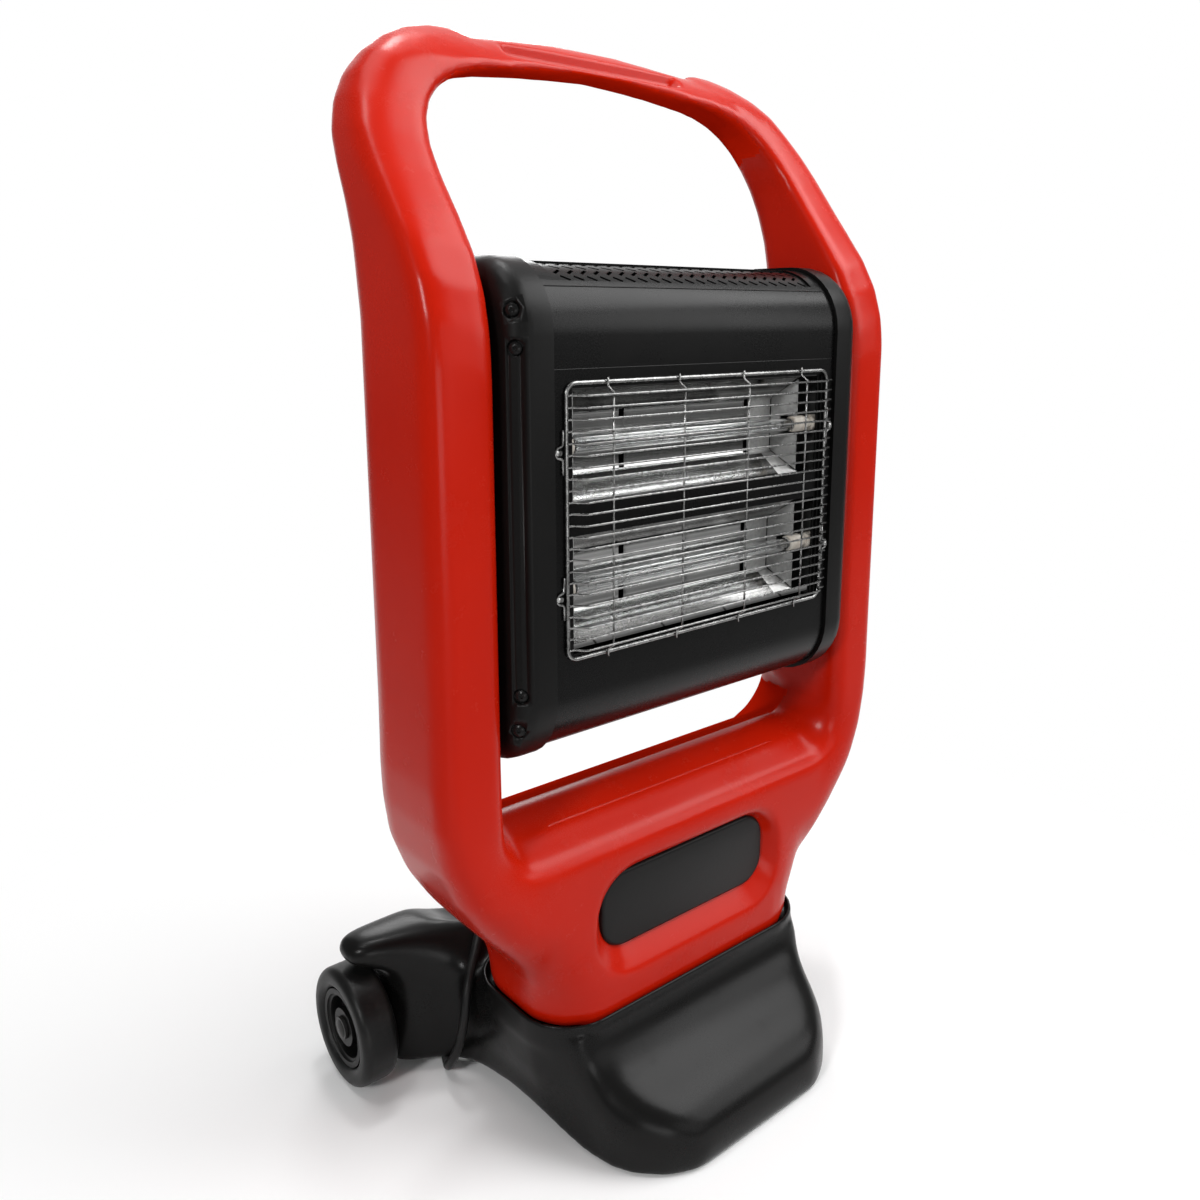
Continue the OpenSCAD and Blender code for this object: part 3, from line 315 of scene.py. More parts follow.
badge_black = dark_plastic("badge_black", 0.0065, 0.30, 0.06 * MM)
black_trim = dark_plastic("black_trim", 0.0070, 0.36, 0.08 * MM)
wheel_black = dark_plastic("wheel_black", 0.0045, 0.32, 0.08 * MM)
cap_grey = dark_plastic("cap_grey", 0.0160, 0.24, 0.05 * MM)
plug_black = dark_plastic("plug_black", 0.0070, 0.40, 0.10 * MM)
print("moulded plastics mixed:", len(bpy.data.materials), "materials so far")

# %% [markdown]
# Rubber is duller than plastic and holds dust, so its colour lightens where a coarse noise says dust lies.
# Powder coat on the sheet metal head is a satin black with a very fine, even pebble.


# %% Rubber and powder coat
def rubber(slot, gloss):
    finish = Finish(slot, IOR=1.45, Specular_IOR_Level=0.25)
    dust = finish.ramp(finish.noise(20 * MM, detail=6, rough=0.65), 0.50, 0.80)
    pebble = finish.noise(0.9 * MM, detail=2)
    clean, dusty = colour(0.0055, 0.0055, 0.0055), colour(0.016, 0.0155, 0.0145)
    finish.wear(Base_Color=finish.mix(dust, clean, dusty), Roughness=gloss + 0.16 * dust)
    finish.relief(pebble, 0.10 * MM)
    return finish.material


def powder_coat(slot, tone, gloss):
    finish = Finish(slot, IOR=1.5, Specular_IOR_Level=0.14)
    cloud = finish.noise(60 * MM, detail=4)
    pebble = finish.noise(1.0 * MM, detail=1)
    dark, light = colour(tone, tone, tone), colour(1.5 * tone, 1.5 * tone, 1.5 * tone)
    finish.wear(Base_Color=finish.mix(cloud, dark, light), Roughness=gloss + 0.06 * cloud + 0.04 * pebble)
    finish.relief(pebble, 0.04 * MM)
    return finish.material


tyre_rubber = rubber("tyre_rubber", 0.38)
cord_rubber = rubber("cord_rubber", 0.42)
washer_fibre = rubber("washer_fibre", 0.60)
casing_black = powder_coat("casing_black", 0.0026, 0.23)
screw_black = powder_coat("screw_black", 0.0060, 0.22)
print("rubber and powder coat mixed:", len(bpy.data.materials), "materials so far")

# %% [markdown]
# The bright metals are told apart by their roughness and by the direction of their marks. The reflector
# sheet's colour runs from near black to bright in bands along its length, and drawn wire and turned steel are
# even. The bands are a noise that is stretched hundreds of times longer across the heater than up it.


# %% Bright metals
def grey(level):
    return colour(level, level, 0.985 * level)


def bright_metal(slot, dull, clean, gloss, stretch=(1, 1, 1), mark=4 * MM, depth=0.02 * MM, name=None,
                 cloud_share=0.4):
    finish = Finish(slot, name, Metallic=1.0)
    cloud = finish.noise(30 * MM, detail=5)
    marks = finish.noise(mark, detail=3, stretch=stretch)
    dull_to_clean = finish.ramp(cloud_share * cloud + (1 - cloud_share) * marks, 0.36, 0.64)
    finish.wear(Base_Color=finish.mix(dull_to_clean, dull, clean), Roughness=gloss + 0.08 * cloud + 0.06 * marks)
    finish.relief(marks, depth)
    return finish.material


BANDS = (0.003, 1, 1)
reflector = bright_metal("reflector", grey(0.04), grey(0.58), 0.06, BANDS, 7 * MM, 0.05 * MM, cloud_share=0.08)
# The folded end is a lighter, rougher copy of the reflector metal: its lighter colour is painted light.
folded_end_painted_light = bright_metal("reflector", grey(0.50), grey(0.70), 0.30, depth=0.03 * MM, name="folded_end_painted_light")
flap_metal = bright_metal("reflector", grey(0.30), grey(0.42), 0.46, mark=3 * MM, depth=0.04 * MM, name="flap")
guard_chrome = bright_metal("guard_chrome", grey(0.15), grey(0.34), 0.20)
steel = bright_metal("steel", grey(0.38), grey(0.56), 0.26)
bracket = bright_metal("bracket", grey(0.16), grey(0.26), 0.38)
filament = bright_metal("filament", grey(0.14), grey(0.24), 0.36)
plug_brass = bright_metal("plug_brass", colour(0.60, 0.42, 0.16), colour(0.74, 0.55, 0.24), 0.22)
print("metals mixed:", len(bpy.data.materials), "materials so far")

# %% [markdown]
# Quartz is clear glass with a slightly low refractive index. The ceramic lamp ends are unglazed white
# steatite, which is chalky and a little stained by heat.

# %% Quartz and ceramic
glass = Finish("quartz", Base_Color=colour(0.96, 0.97, 0.97), Transmission_Weight=1.0, IOR=1.46)
glass.wear(Roughness=0.01 + 0.03 * glass.noise(20 * MM, detail=3))
quartz = glass.material

CHALK, STAINED = colour(0.62, 0.58, 0.52), colour(0.42, 0.36, 0.30)
clay = Finish("ceramic", IOR=1.5)
stain = clay.ramp(clay.noise(6 * MM, detail=4), 0.45, 0.75)
clay.wear(Base_Color=clay.mix(stain, CHALK, STAINED), Roughness=0.55 + 0.2 * stain)
clay.relief(clay.noise(0.8 * MM), 0.08 * MM)
ceramic = clay.material
print("quartz and ceramic mixed:", len(bpy.data.materials), "materials in all")

# %% [markdown]
# Most pieces start from a copy of their CAD node. The node's mesh is loose triangles, so the copy is
# welded first. Then it is shaded smooth, with an edge kept sharp only where two faces meet at more than a
# set angle, which is how a real moulding reads: round where it is round, crisp at its corners.


# %% Pieces and what they say
def mesh_piece(name, bm):
    """Turns a bmesh into an object at the origin."""
    mesh = bpy.data.meshes.new(name)
    bm.to_mesh(mesh)
    bm.free()
    piece = bpy.data.objects.new(name, mesh)
    bpy.context.collection.objects.link(piece)
    return piece


def shade(piece, angle=32):
    mesh = piece.data
    mesh.polygons.foreach_set("use_smooth", [True] * len(mesh.polygons))
    mesh.set_sharp_from_angle(angle=math.radians(angle))


def body_with(node):
    bodies = frame["record"]["behaviour"]["bodies"]
    return next(body for body, nodes in bodies.items() if node in nodes)


def dress(piece, finish, nodes=(), body=None):
    """Gives a piece its finish, the CAD nodes that it stands for and the body that it rides on."""
    piece.data.materials.append(finish)
    if nodes:
        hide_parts(*nodes)
    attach(piece, body or body_with(nodes[0]))
    return piece


# %% Copies of CAD nodes
def welded(node):
    bm = bmesh.new()
    bm.from_mesh(NODES[node].data)
    bmesh.ops.remove_doubles(bm, verts=bm.verts, dist=0.005 * MM)
    return bm


def soften(piece, width, segments=2, angle=35):
    """Breaks the sharp edges with a small round, as on any moulded or pressed piece."""
    bevel = piece.modifiers.new("soft_edges", "BEVEL")
    bevel.width = width
    bevel.segments = segments
    bevel.limit_method = "ANGLE"
    bevel.angle_limit = math.radians(angle)
    bevel.harden_normals = True


def plain_copy(node, finish, edge=0.0, angle=32):
    bm = welded(node)
    bmesh.ops.dissolve_limit(bm, angle_limit=math.radians(0.3), verts=bm.verts, edges=bm.edges)
    piece = mesh_piece(node + "_dressed", bm)
    shade(piece, angle)
    if edge:
        soften(piece, edge)
    return dress(piece, finish, [node])


print("nodes can be copied")

# %% [markdown]
# The ring frame and the foot have no flat face and no sharp edge: hot plastic flows into the mould and
# shrinks smooth. Subdividing the CAD loft would keep its facets, so a copy is rebuilt as an even grid of
# small squares by a voxel remesh, and smooth_vert then irons the facets out, as sandpaper would on a
# pattern. Each point says how often it is smoothed, so long slopes come out fair and crisp lines stay.


# %% Smooth skin over a loft
def ironed(node, finish, voxel, passes, shape=None):
    """Even grid over a CAD loft, pushed by shape and then smoothed at each point as often as passes says."""
    rough = mesh_piece(node + "_loft", welded(node))
    grid = rough.modifiers.new("grid", "REMESH")
    grid.mode = "VOXEL"
    grid.voxel_size = voxel
    bm = bmesh.new()
    bm.from_object(rough, bpy.context.evaluated_depsgraph_get())
    bpy.data.objects.remove(rough)
    if shape:
        for v in bm.verts:
            v.co += shape(v.co)
    rounds = {v: passes(v.co) for v in bm.verts}
    verts = list(rounds)
    for turn in range(max(rounds.values())):
        verts = [v for v in verts if rounds[v] > turn]
        bmesh.ops.smooth_vert(bm, verts=verts, factor=0.5, use_axis_x=True, use_axis_y=True, use_axis_z=True)
    piece = mesh_piece(node + "_skin", bm)
    shade(piece, 180)
    print(piece.name, len(piece.data.polygons), "faces")
    return dress(piece, finish, [node])


def above(value, start, over):
    """0 up to start, then rising to 1 over so many metres."""
    return ease((value - start) / over)


def below(value, start, over):
    """0 from start upwards, and 1 that many metres below it."""
    return ease((start - value) / over)


print("lofts can be ironed")

# %% [markdown]
# The black foot is one moulding with a thin lip round the neck, a long slope in front and an arm to each
# wheel. The lip would melt away under many passes, and the slope needs them, so the count follows the place.

# %% Foot
LIP_Z, LIP_BACK_Y, SLOPE_Y, ARM_Y, ARM_X = 97 * MM, 30 * MM, -45 * MM, 45 * MM, 95 * MM


def base_passes(place):
    """Few passes on the thin lip round the neck, many on the long slope of the foot and on the wheel arms."""
    x, y, z = abs(place.x), place.y, place.z
    off_lip = min(1, below(z, LIP_Z, 4 * MM) + above(y, LIP_BACK_Y, 20 * MM))
    slope = below(y, SLOPE_Y, 30 * MM) * above(z, 12 * MM, 10 * MM)
    arms = above(y, ARM_Y, 20 * MM) * above(x, ARM_X, 20 * MM) * above(z, 30 * MM, 20 * MM)
    return 4 + round(10 * off_lip + 26 * min(slope, off_lip) + 44 * arms)


ironed("base_moulding", black_shell, 2.2 * MM, base_passes)

# %% [markdown]
# Two forms are pushed into the ring frame's grid before it is ironed: the roof of the cross member falls
# away behind its crest, and the front of the grip has a groove for the fingers. Moving the points that are
# there keeps the skin closed, which cutting with a boolean would not promise.

# %% Frame forms
CREST_Y, FALL_SLOPE, FALL_HALF, FALL_FROM_Z = 12 * MM, 0.42, 172 * MM, 190 * MM
SILL_TOP = 0.30
GROOVE_AT, GROOVE_OUT, GROOVE_UP = Vector((0, 0.0475, 0.833)), Vector((0, -0.8, 0.6)), Vector((0, 0.6, 0.8))
GROOVE_DEEP, GROOVE_HALF, GROOVE_WIDE, GROOVE_SKIN = 4.5 * MM, 89 * MM, 7 * MM, 10 * MM


def frame_shape(place):
    """A steeper fall behind the crest of the cross member, and a finger groove with clear walls in the grip."""
    behind = max(0.0, place.y - CREST_Y) * (place.z < SILL_TOP)
    fall = FALL_SLOPE * behind * below(abs(place.x), FALL_HALF, 30 * MM) * above(place.z, FALL_FROM_Z, 30 * MM)
    reach = place - GROOVE_AT
    groove = below(abs(reach.x), GROOVE_HALF, 3 * MM) * below(abs(reach.dot(GROOVE_UP)), GROOVE_WIDE, 2 * MM)
    depth = GROOVE_DEEP * groove * (abs(reach.dot(GROOVE_OUT)) < GROOVE_SKIN)
    return Vector((0, 0, -fall)) - depth * GROOVE_OUT


print("groove", GROOVE_DEEP / MM, "mm deep, roof falls", FALL_SLOPE, "mm per mm")

# %% Ring frame
SILL_Z, SILL_HALF, BADGE_Z, BADGE_HALF = 255 * MM, 130 * MM, 181 * MM, 108 * MM
GRIP_Z, GRIP_HALF, GRIP_UNDER_Z, NECK_HALF = 815 * MM, 150 * MM, 826 * MM, 106 * MM


def frame_passes(place):
    """Few passes on the cross member, round the badge and on the grip, whose lines are crisp."""
    x, z = abs(place.x), place.z
    off_sill = above(x, SILL_HALF, 45 * MM) + above(abs(z - SILL_Z), 45 * MM, 30 * MM)
    off_grip = above(x, GRIP_HALF, 20 * MM) + below(z, GRIP_Z, 20 * MM)
    off_badge = above(x, BADGE_HALF, 20 * MM) + above(abs(z - BADGE_Z), 55 * MM, 20 * MM)
    neck = above(x, NECK_HALF, 12 * MM) * below(z, 235 * MM, 30 * MM)
    under_grip = below(x, 90 * MM, 30 * MM) * below(z, GRIP_UNDER_Z, 6 * MM) * (z > 0.75)
    plain = min(1, off_sill, off_grip, off_badge)
    return 2 + round(2 * min(1, off_grip) + 4 * plain + 30 * max(neck, under_grip))


frame_skin = ironed("frame_moulding", red_shell, 2.9 * MM, frame_passes, frame_shape)

# %% [markdown]
# The rear slope of the cross member and the underside of the grip keep a matt skin. They face away from the
# lamps and lie at a flat angle to the eye, and there a glossy skin would mirror the white room as pale bands.
# Their red is also painted lighter than the rest of the frame, as painted light in their shade. A second
# material on the same mesh does it, chosen face by face from where a face lies and looks.

# %% Matt faces with painted light
GRIP_FROM = 0.70


def gets_matt_painted_light(face):
    rear_slope = face.center.z < SILL_TOP and face.normal.z > 0.2 and face.normal.y > 0.08
    return rear_slope or (face.center.z > GRIP_FROM and face.normal.z < -0.5)


# Faces in shade get the matt red, whose lighter colour is painted light.
frame_skin.data.materials.append(red_matt_painted_light)
for face in frame_skin.data.polygons:
    face.material_index = int(gets_matt_painted_light(face))
print("matt faces:", sum(face.material_index for face in frame_skin.data.polygons))

# %% [markdown]
# A raised line runs along the roof of the cross member, where the two halves of the mould meet. It is a fine
# bead, half sunk: points are dropped on to the skin from above, and the wire's ends dive below it.

# %% Parting line
LINE_Y, LINE_REACH, LINE_D, LINE_STEPS = -47 * MM, 132 * MM, 1.8 * MM, 12
skin_tree = BVHTree.FromObject(frame_skin, bpy.context.evaluated_depsgraph_get())
line = []
for k in range(-LINE_STEPS, LINE_STEPS + 1):
    start = Vector((LINE_REACH * k / LINE_STEPS, LINE_Y, SILL_TOP))
    spot = skin_tree.ray_cast(start, Vector((0, 0, -1)))[0]
    line.append(spot - Vector((0, 0, 0.2 * MM if abs(k) < LINE_STEPS else LINE_D)))
dress(wire_curve("parting_line", [line], LINE_D, sides=3), red_shell, body="stand")
print("parting line at height", round(line[LINE_STEPS].z, 4), "m")

# %% [markdown]
# The badge is a plain black plate with well rounded corners and a soft edge, pressed into the recess of the
# neck. One square is scaled to the plate's outline, its corners are beveled, and the rim is rounded over.

# %% Badge
BADGE_CORNER, BADGE_EDGE = 24 * MM, 3.4 * MM


def new_verts(made):
    """The points among what an extrude made."""
    return [v for v in made["geom"] if isinstance(v, bmesh.types.BMVert)]


low, high = (Vector(corner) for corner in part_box("badge_plate"))
bm = bmesh.new()
bmesh.ops.create_grid(bm, x_segments=1, y_segments=1, size=0.5)
bmesh.ops.scale(bm, vec=(high.x - low.x, high.z - low.z, 1), verts=bm.verts)
bmesh.ops.bevel(bm, geom=bm.verts[:], offset=BADGE_CORNER, segments=10, profile=0.5, affect="VERTICES",
                material=-1)
rim = new_verts(bmesh.ops.extrude_face_region(bm, geom=bm.faces[:]))
bmesh.ops.translate(bm, verts=rim, vec=(0, 0, high.y - low.y))
bmesh.ops.rotate(bm, verts=bm.verts, cent=(0, 0, 0), matrix=Matrix.Rotation(math.pi / 2, 3, "X"))
bmesh.ops.translate(bm, verts=bm.verts, vec=((low.x + high.x) / 2, high.y, (low.z + high.z) / 2))
bmesh.ops.recalc_face_normals(bm, faces=bm.faces)
front = [e for e in bm.edges if all(v.co.y < low.y + 0.01 * MM for v in e.verts)]
bmesh.ops.bevel(bm, geom=front, offset=BADGE_EDGE, segments=5, profile=0.5, affect="EDGES", material=-1)
badge = mesh_piece("badge_cover", bm)
shade(badge, 40)
dress(badge, badge_black, ["badge_plate"])
print("badge", [round(v, 4) for v in high - low])

# %% [markdown]
# The rest of the stand is turned or moulded in plain shapes that the CAD already has: bolts, axle, wheels,
# tyres, hub caps, pins and washers. Modelling them again would only repeat it, so each is a copy with its own
# finish. Most get a small round on their edges, because no real edge is razor sharp and a round catches light.

# %% Other stand pieces
plain_copy("neck_bolts", steel, edge=0.5 * MM)
plain_copy("axle_rod", steel, edge=0.6 * MM)
plain_copy("cable_gland", black_trim, edge=0.8 * MM)
for side in ("right", "left"):
    plain_copy("wheel_" + side, wheel_black, edge=0.8 * MM)
    plain_copy("tyre_" + side, tyre_rubber)
    plain_copy("hub_cap_" + side, cap_grey, edge=0.4 * MM)
    plain_copy("pivot_pin_" + side, steel)
    plain_copy("pivot_washer_" + side, washer_fibre, edge=0.3 * MM)

# %% [markdown]
# The lead ends in a moulded plug with brass pins, and a tie holds its coil.

# %% Cord fittings
tie = plain_copy("cord_tie", black_trim, edge=0.3 * MM)
plug = plain_copy("plug_body", plug_black, edge=2.0 * MM)
pins = plain_copy("plug_pins", plug_brass, edge=0.6 * MM)
dress(cord, cord_rubber, ["cord_run", "cord_coil"])
print("cord goes with", plug.name, pins.name, tie.name)

# %% [markdown]
# The head is folded from sheet steel and powder coated: a casing, a pierced top, a bezel round the window and
# a rear panel, closed by two moulded end caps. The CAD holds the bends of the sheet, so the large sheets and
# the caps are copied as they are, and only thin plates, screws and switches get a softened edge.

# %% Head
plain_copy("head_casing", casing_black)
plain_copy("top_vent", casing_black)
plain_copy("lamp_bezel", casing_black, edge=0.3 * MM)
plain_copy("rear_panel", casing_black, edge=0.3 * MM)
plain_copy("panel_screws", steel, edge=0.6 * MM)
plain_copy("switch_box", cap_black, edge=1.2 * MM)
plain_copy("lamp_brackets", bracket, edge=0.2 * MM)
for side in ("right", "left"):
    plain_copy("end_cap_" + side, cap_black)
    plain_copy("cap_screws_" + side, screw_black, edge=0.3 * MM)
    plain_copy("rocker_" + side, rocker_red, edge=0.5 * MM)
casing_low, casing_high = (Vector(corner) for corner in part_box("head_casing"))
print("casing", [round(v, 4) for v in casing_high - casing_low])

# %% [markdown]
# Two thin lines cross the sheet metal: the lap where the pierced top sheet is folded over the front one,
# and the bend line above the window. Each is a fine bead along the casing, half sunk in the sheet.

# %% Casing seams
SEAM_REACH = casing_high.x - 0.6 * MM
SEAM_LINES = [(-71.6 * MM, 659.2 * MM, 1.3 * MM), (-83.3 * MM, 605.0 * MM, 0.9 * MM)]
for number, (y, z, thick) in enumerate(SEAM_LINES):
    ends = [(-SEAM_REACH, y, z), (SEAM_REACH, y, z)]
    seam = wire_curve("casing_seam_%d" % number, [ends], thick, sides=3, kind="POLY")
    dress(seam, casing_black, body="head")
print("seams", round(2 * SEAM_REACH, 4), "m long")

# %% [markdown]
# Each reflector is one polished sheet, folded along four lines into a shallow channel with a narrow lip
# above and below. A line of points across the channel is extruded sideways into the sheet, the fold edges
# are rounded by a bevel, and small slots are cut out of the back with planes. The dull end flaps are
# plates of their own, with a notch for the lamp and a dark slit between them and the channel.

# %% Sheet metal
SHEET = 0.8 * MM


def cut_out(bm, planes, inside):
    """Slices the sheet with planes of (point, normal) and takes away the faces that lie inside."""
    for point, normal in planes:
        geometry = bm.verts[:] + bm.edges[:] + bm.faces[:]
        bmesh.ops.bisect_plane(bm, geom=geometry, plane_co=point, plane_no=normal)
    gone = [f for f in bm.faces if inside(f.calc_center_median())]
    bmesh.ops.delete(bm, geom=gone, context="FACES")


def thick_sheet(name, bm, finish, nodes=()):
    bmesh.ops.recalc_face_normals(bm, faces=bm.faces)
    bmesh.ops.solidify(bm, geom=bm.faces[:], thickness=SHEET)
    piece = mesh_piece(name, bm)
    shade(piece, 40)
    return dress(piece, finish, nodes, "head")


print("sheet is", SHEET / MM, "mm thick")

# %% Reflector folds and slots
LIP, LEAN, FLAP_LEAN, SLIT, FOLD_R = 3.5 * MM, 17 * MM, 9 * MM, 2.2 * MM, 3 * MM
REACH = {-1: 127 * MM, 1: 106.5 * MM}
SLOT_X, SLOT_EDGES = (63.5 * MM, 68.5 * MM), (-18 * MM, -10 * MM, 14 * MM, 22 * MM)
SLOT_MIDDLE, SLOT_APART = 2 * MM, 8 * MM
DULL_FROM, FOLDED_FROM = 66 * MM, 84 * MM


def folded_channel(low, back, z, mouth):
    """A chain of points across the channel, extruded sideways, with its folds rounded."""
    bm = bmesh.new()
    deep = mouth - LEAN
    chain = [(low.y, z + mouth), (back, z + deep), (back, z - deep), (low.y, z - mouth)]
    line = [bm.verts.new((0, *point)) for point in chain]
    edges = [bm.edges.new(pair) for pair in zip(line, line[1:])]
    far = new_verts(bmesh.ops.extrude_edge_only(bm, edges=edges))
    for verts, side in ((line, -1), (far, 1)):
        for v in verts:
            v.co.x = side * (REACH[side] - (0 if v.co.y < back - MM else FLAP_LEAN + SLIT))
    folds = [e for e in bm.edges if len(e.link_faces) == 2]
    bmesh.ops.bevel(bm, geom=folds, offset=FOLD_R, segments=4, profile=0.5, affect="EDGES", material=-1)
    return bm


def pierce_slots(bm, back, z):
    planes = [(Vector((side * x, 0, 0)), (1, 0, 0)) for side in (-1, 1) for x in (*SLOT_X, FOLDED_FROM)]
    planes += [(Vector((0, 0, z + d)), (0, 0, 1)) for d in SLOT_EDGES]
    cut_out(bm, planes, lambda c: SLOT_X[0] < abs(c.x) < SLOT_X[1]
            and abs(c.z - z - SLOT_MIDDLE) > SLOT_APART and c.y > back - MM)


print("channel reaches", REACH[-1] / MM, "mm left and", REACH[1] / MM, "mm right")


# %% Reflector channel
def add_lips(bm, low, high, z, mouth):
    for side in (-1, 1):
        ends = [bm.verts.new((s * high.x, low.y, z + side * mouth)) for s in (-1, 1)]
        lifted = new_verts(bmesh.ops.extrude_edge_only(bm, edges=[bm.edges.new(ends)]))
        bmesh.ops.translate(bm, verts=lifted, vec=(0, 0, side * LIP))


def reflector_channel(lamp):
    low, high = (Vector(corner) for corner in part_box("reflector_" + lamp))
    z, mouth, back = (low.z + high.z) / 2, (high.z - low.z) / 2 - LIP, high.y - SHEET
    bm = folded_channel(low, back, z, mouth)
    pierce_slots(bm, back, z)
    add_lips(bm, low, high, z, mouth)
    for f in bm.faces:
        c = f.calc_center_median()
        if c.x > DULL_FROM and c.y > back - 2 * MM:
            f.material_index = 1
        # The folded end takes the lighter metal, whose colour is painted light.
        elif c.x > FOLDED_FROM and c.z < z - mouth + LEAN and c.y > low.y + MM:
            f.material_index = 2
    piece = thick_sheet("reflector_%s_channel" % lamp, bm, reflector, ["reflector_" + lamp])
    piece.data.materials.append(flap_metal)
    piece.data.materials.append(folded_end_painted_light)
    return piece


print("channels can be folded")

# %% Reflector flaps
NOTCH = 7.4 * MM


def reflector_flaps(lamp):
    low, high = (Vector(corner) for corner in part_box("reflector_" + lamp))
    axis = (Vector(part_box("lamp_" + lamp)[0]) + Vector(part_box("lamp_" + lamp)[1])) / 2
    mouth = (high.z - low.z) / 2 - LIP
    back, front = high.y - SHEET, low.y + 0.6 * MM
    bm = bmesh.new()
    for side in (-1, 1):
        rows = [(REACH[side] - FLAP_LEAN + 0.4 * MM, back, mouth - LEAN - 0.5 * MM),
                (REACH[side], front, mouth - 2.4 * MM)]
        corners = [bm.verts.new((side * x, y, axis.z + d * half)) for x, y, half in rows for d in (-1, 1)]
        bm.faces.new((corners[0], corners[1], corners[3], corners[2]))
    planes = [(axis + Vector((0, 0, d * NOTCH)), (0, 0, 1)) for d in (-1, 1)]
    planes.append((axis + Vector((0, NOTCH, 0)), (0, 1, 0)))
    cut_out(bm, planes, lambda c: abs(c.z - axis.z) < NOTCH and c.y < axis.y + NOTCH)
    return thick_sheet("reflector_%s_flaps" % lamp, bm, flap_metal)


for lamp in ("upper", "lower"):
    channel, flaps = reflector_channel(lamp), reflector_flaps(lamp)
    print(lamp, "reflector folded:", len(channel.data.polygons), "and", len(flaps.data.polygons), "faces")

# %% [markdown]
# A lamp is a tube of clear quartz, closed at both ends, with a coil of tungsten wire down its middle. The
# tube's outline, a chain of a few points, is spun about the axis: once for the outside and once for the
# bore, whose faces are turned round so that they look into the hollow.


# %% Quartz tubes
def turned(bm, outline, centre, axis, steps=32):
    """Spins a chain of (along, radius) points about an axis and returns the new faces."""
    axis = Vector(axis)
    side = Vector((0, 0, 1)) if abs(axis.z) < 0.5 else Vector((1, 0, 0))
    before = set(bm.faces)
    chain = [bm.verts.new(centre + along * axis + radius * side) for along, radius in outline]
    edges = [bm.edges.new(pair) for pair in zip(chain, chain[1:])]
    bmesh.ops.spin(bm, geom=chain + edges, cent=centre, axis=axis, angle=2 * math.pi, steps=steps, use_merge=True)
    bmesh.ops.remove_doubles(bm, verts=bm.verts, dist=0.01 * MM)
    faces = [f for f in bm.faces if f not in before]
    bmesh.ops.recalc_face_normals(bm, faces=faces)
    return faces


LEFT_EXTRA, QUARTZ_WALL, QUARTZ_END, QUARTZ_ROUND = 20 * MM, 1.0 * MM, 3 * MM, 1.6 * MM


def lamp_room(lamp):
    """Centre, half length and radius of a lamp, which reaches a little further left than its node."""
    low, high = (Vector(corner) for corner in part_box("lamp_" + lamp))
    low.x -= LEFT_EXTRA
    return (low + high) / 2, (high.x - low.x) / 2, (high.z - low.z) / 2


def quartz_tube(lamp):
    centre, half, radius = lamp_room(lamp)
    bm = bmesh.new()
    for end, size, bore in ((half, radius, False), (half - QUARTZ_END, radius - QUARTZ_WALL, True)):
        soft = [(end, 0), (end, size - QUARTZ_ROUND), (end - 0.5 * MM, size - 0.5 * MM),
                (end - QUARTZ_ROUND, size)]
        outline = [(-along, r) for along, r in soft] + [(along, r) for along, r in reversed(soft)]
        faces = turned(bm, outline, centre, (1, 0, 0))
        if bore:
            bmesh.ops.reverse_faces(bm, faces=faces)
    tube = mesh_piece("lamp_%s_tube" % lamp, bm)
    shade(tube, 50)
    return dress(tube, quartz, ["lamp_" + lamp])


for lamp in ("upper", "lower"):
    quartz_tube(lamp)
    print(lamp, "tube", round(2 * lamp_room(lamp)[1], 4), "m long")

# %% [markdown]
# The filament is a long, fine helix, with straight tails to the ends of the tube, and small wire rings keep
# it from sagging on to the hot glass. A poly curve with a round bevel is the lightest way to wind it: the
# points follow from the radius and the pitch.

# %% Filaments
FILAMENT_R, FILAMENT_PITCH, FILAMENT_WIRE, FILAMENT_STEPS = 1.5 * MM, 2.2 * MM, 0.55 * MM, 8
FILAMENT_SHORT, TAIL_SHORT = 14 * MM, 4 * MM
RINGS, RING_SPREAD, RING_R, RING_WIRE, RING_SIDES = 7, 3.2, 4.0 * MM, 0.5 * MM, 12


def round_axis(centre, x, radius, angle):
    return centre + Vector((x, radius * math.cos(angle), radius * math.sin(angle)))


def filament_coil(lamp):
    centre, half, _ = lamp_room(lamp)
    reach = half - FILAMENT_SHORT
    turns = round(2 * reach / FILAMENT_PITCH)
    count = FILAMENT_STEPS * turns
    helix = [centre + Vector((-half + TAIL_SHORT, 0, 0))]
    helix += [round_axis(centre, -reach + 2 * reach * k / count, FILAMENT_R, 2 * math.pi * k / FILAMENT_STEPS)
              for k in range(count + 1)]
    helix.append(centre + Vector((half - TAIL_SHORT, 0, 0)))
    coil = wire_curve("filament_%s_coil" % lamp, [helix], FILAMENT_WIRE, sides=0, kind="POLY")
    dress(coil, filament, ["filament_" + lamp])
    rings = [[round_axis(centre, reach * (k - RINGS // 2) / RING_SPREAD, RING_R, 2 * math.pi * j / RING_SIDES)
              for j in range(RING_SIDES)] for k in range(RINGS)]
    holders = wire_curve("filament_%s_rings" % lamp, rings, RING_WIRE, closed=True, sides=0, kind="POLY")
    dress(holders, filament, body="head")
    return turns


for lamp in ("upper", "lower"):
    print(lamp, "filament wound with", filament_coil(lamp), "turns")

# %% [markdown]
# A ceramic sleeve with a waist holds each end of a tube in its bracket. It is a turned form, so its outline
# is written as shares of the room between glass and bracket, and spun like the tube.


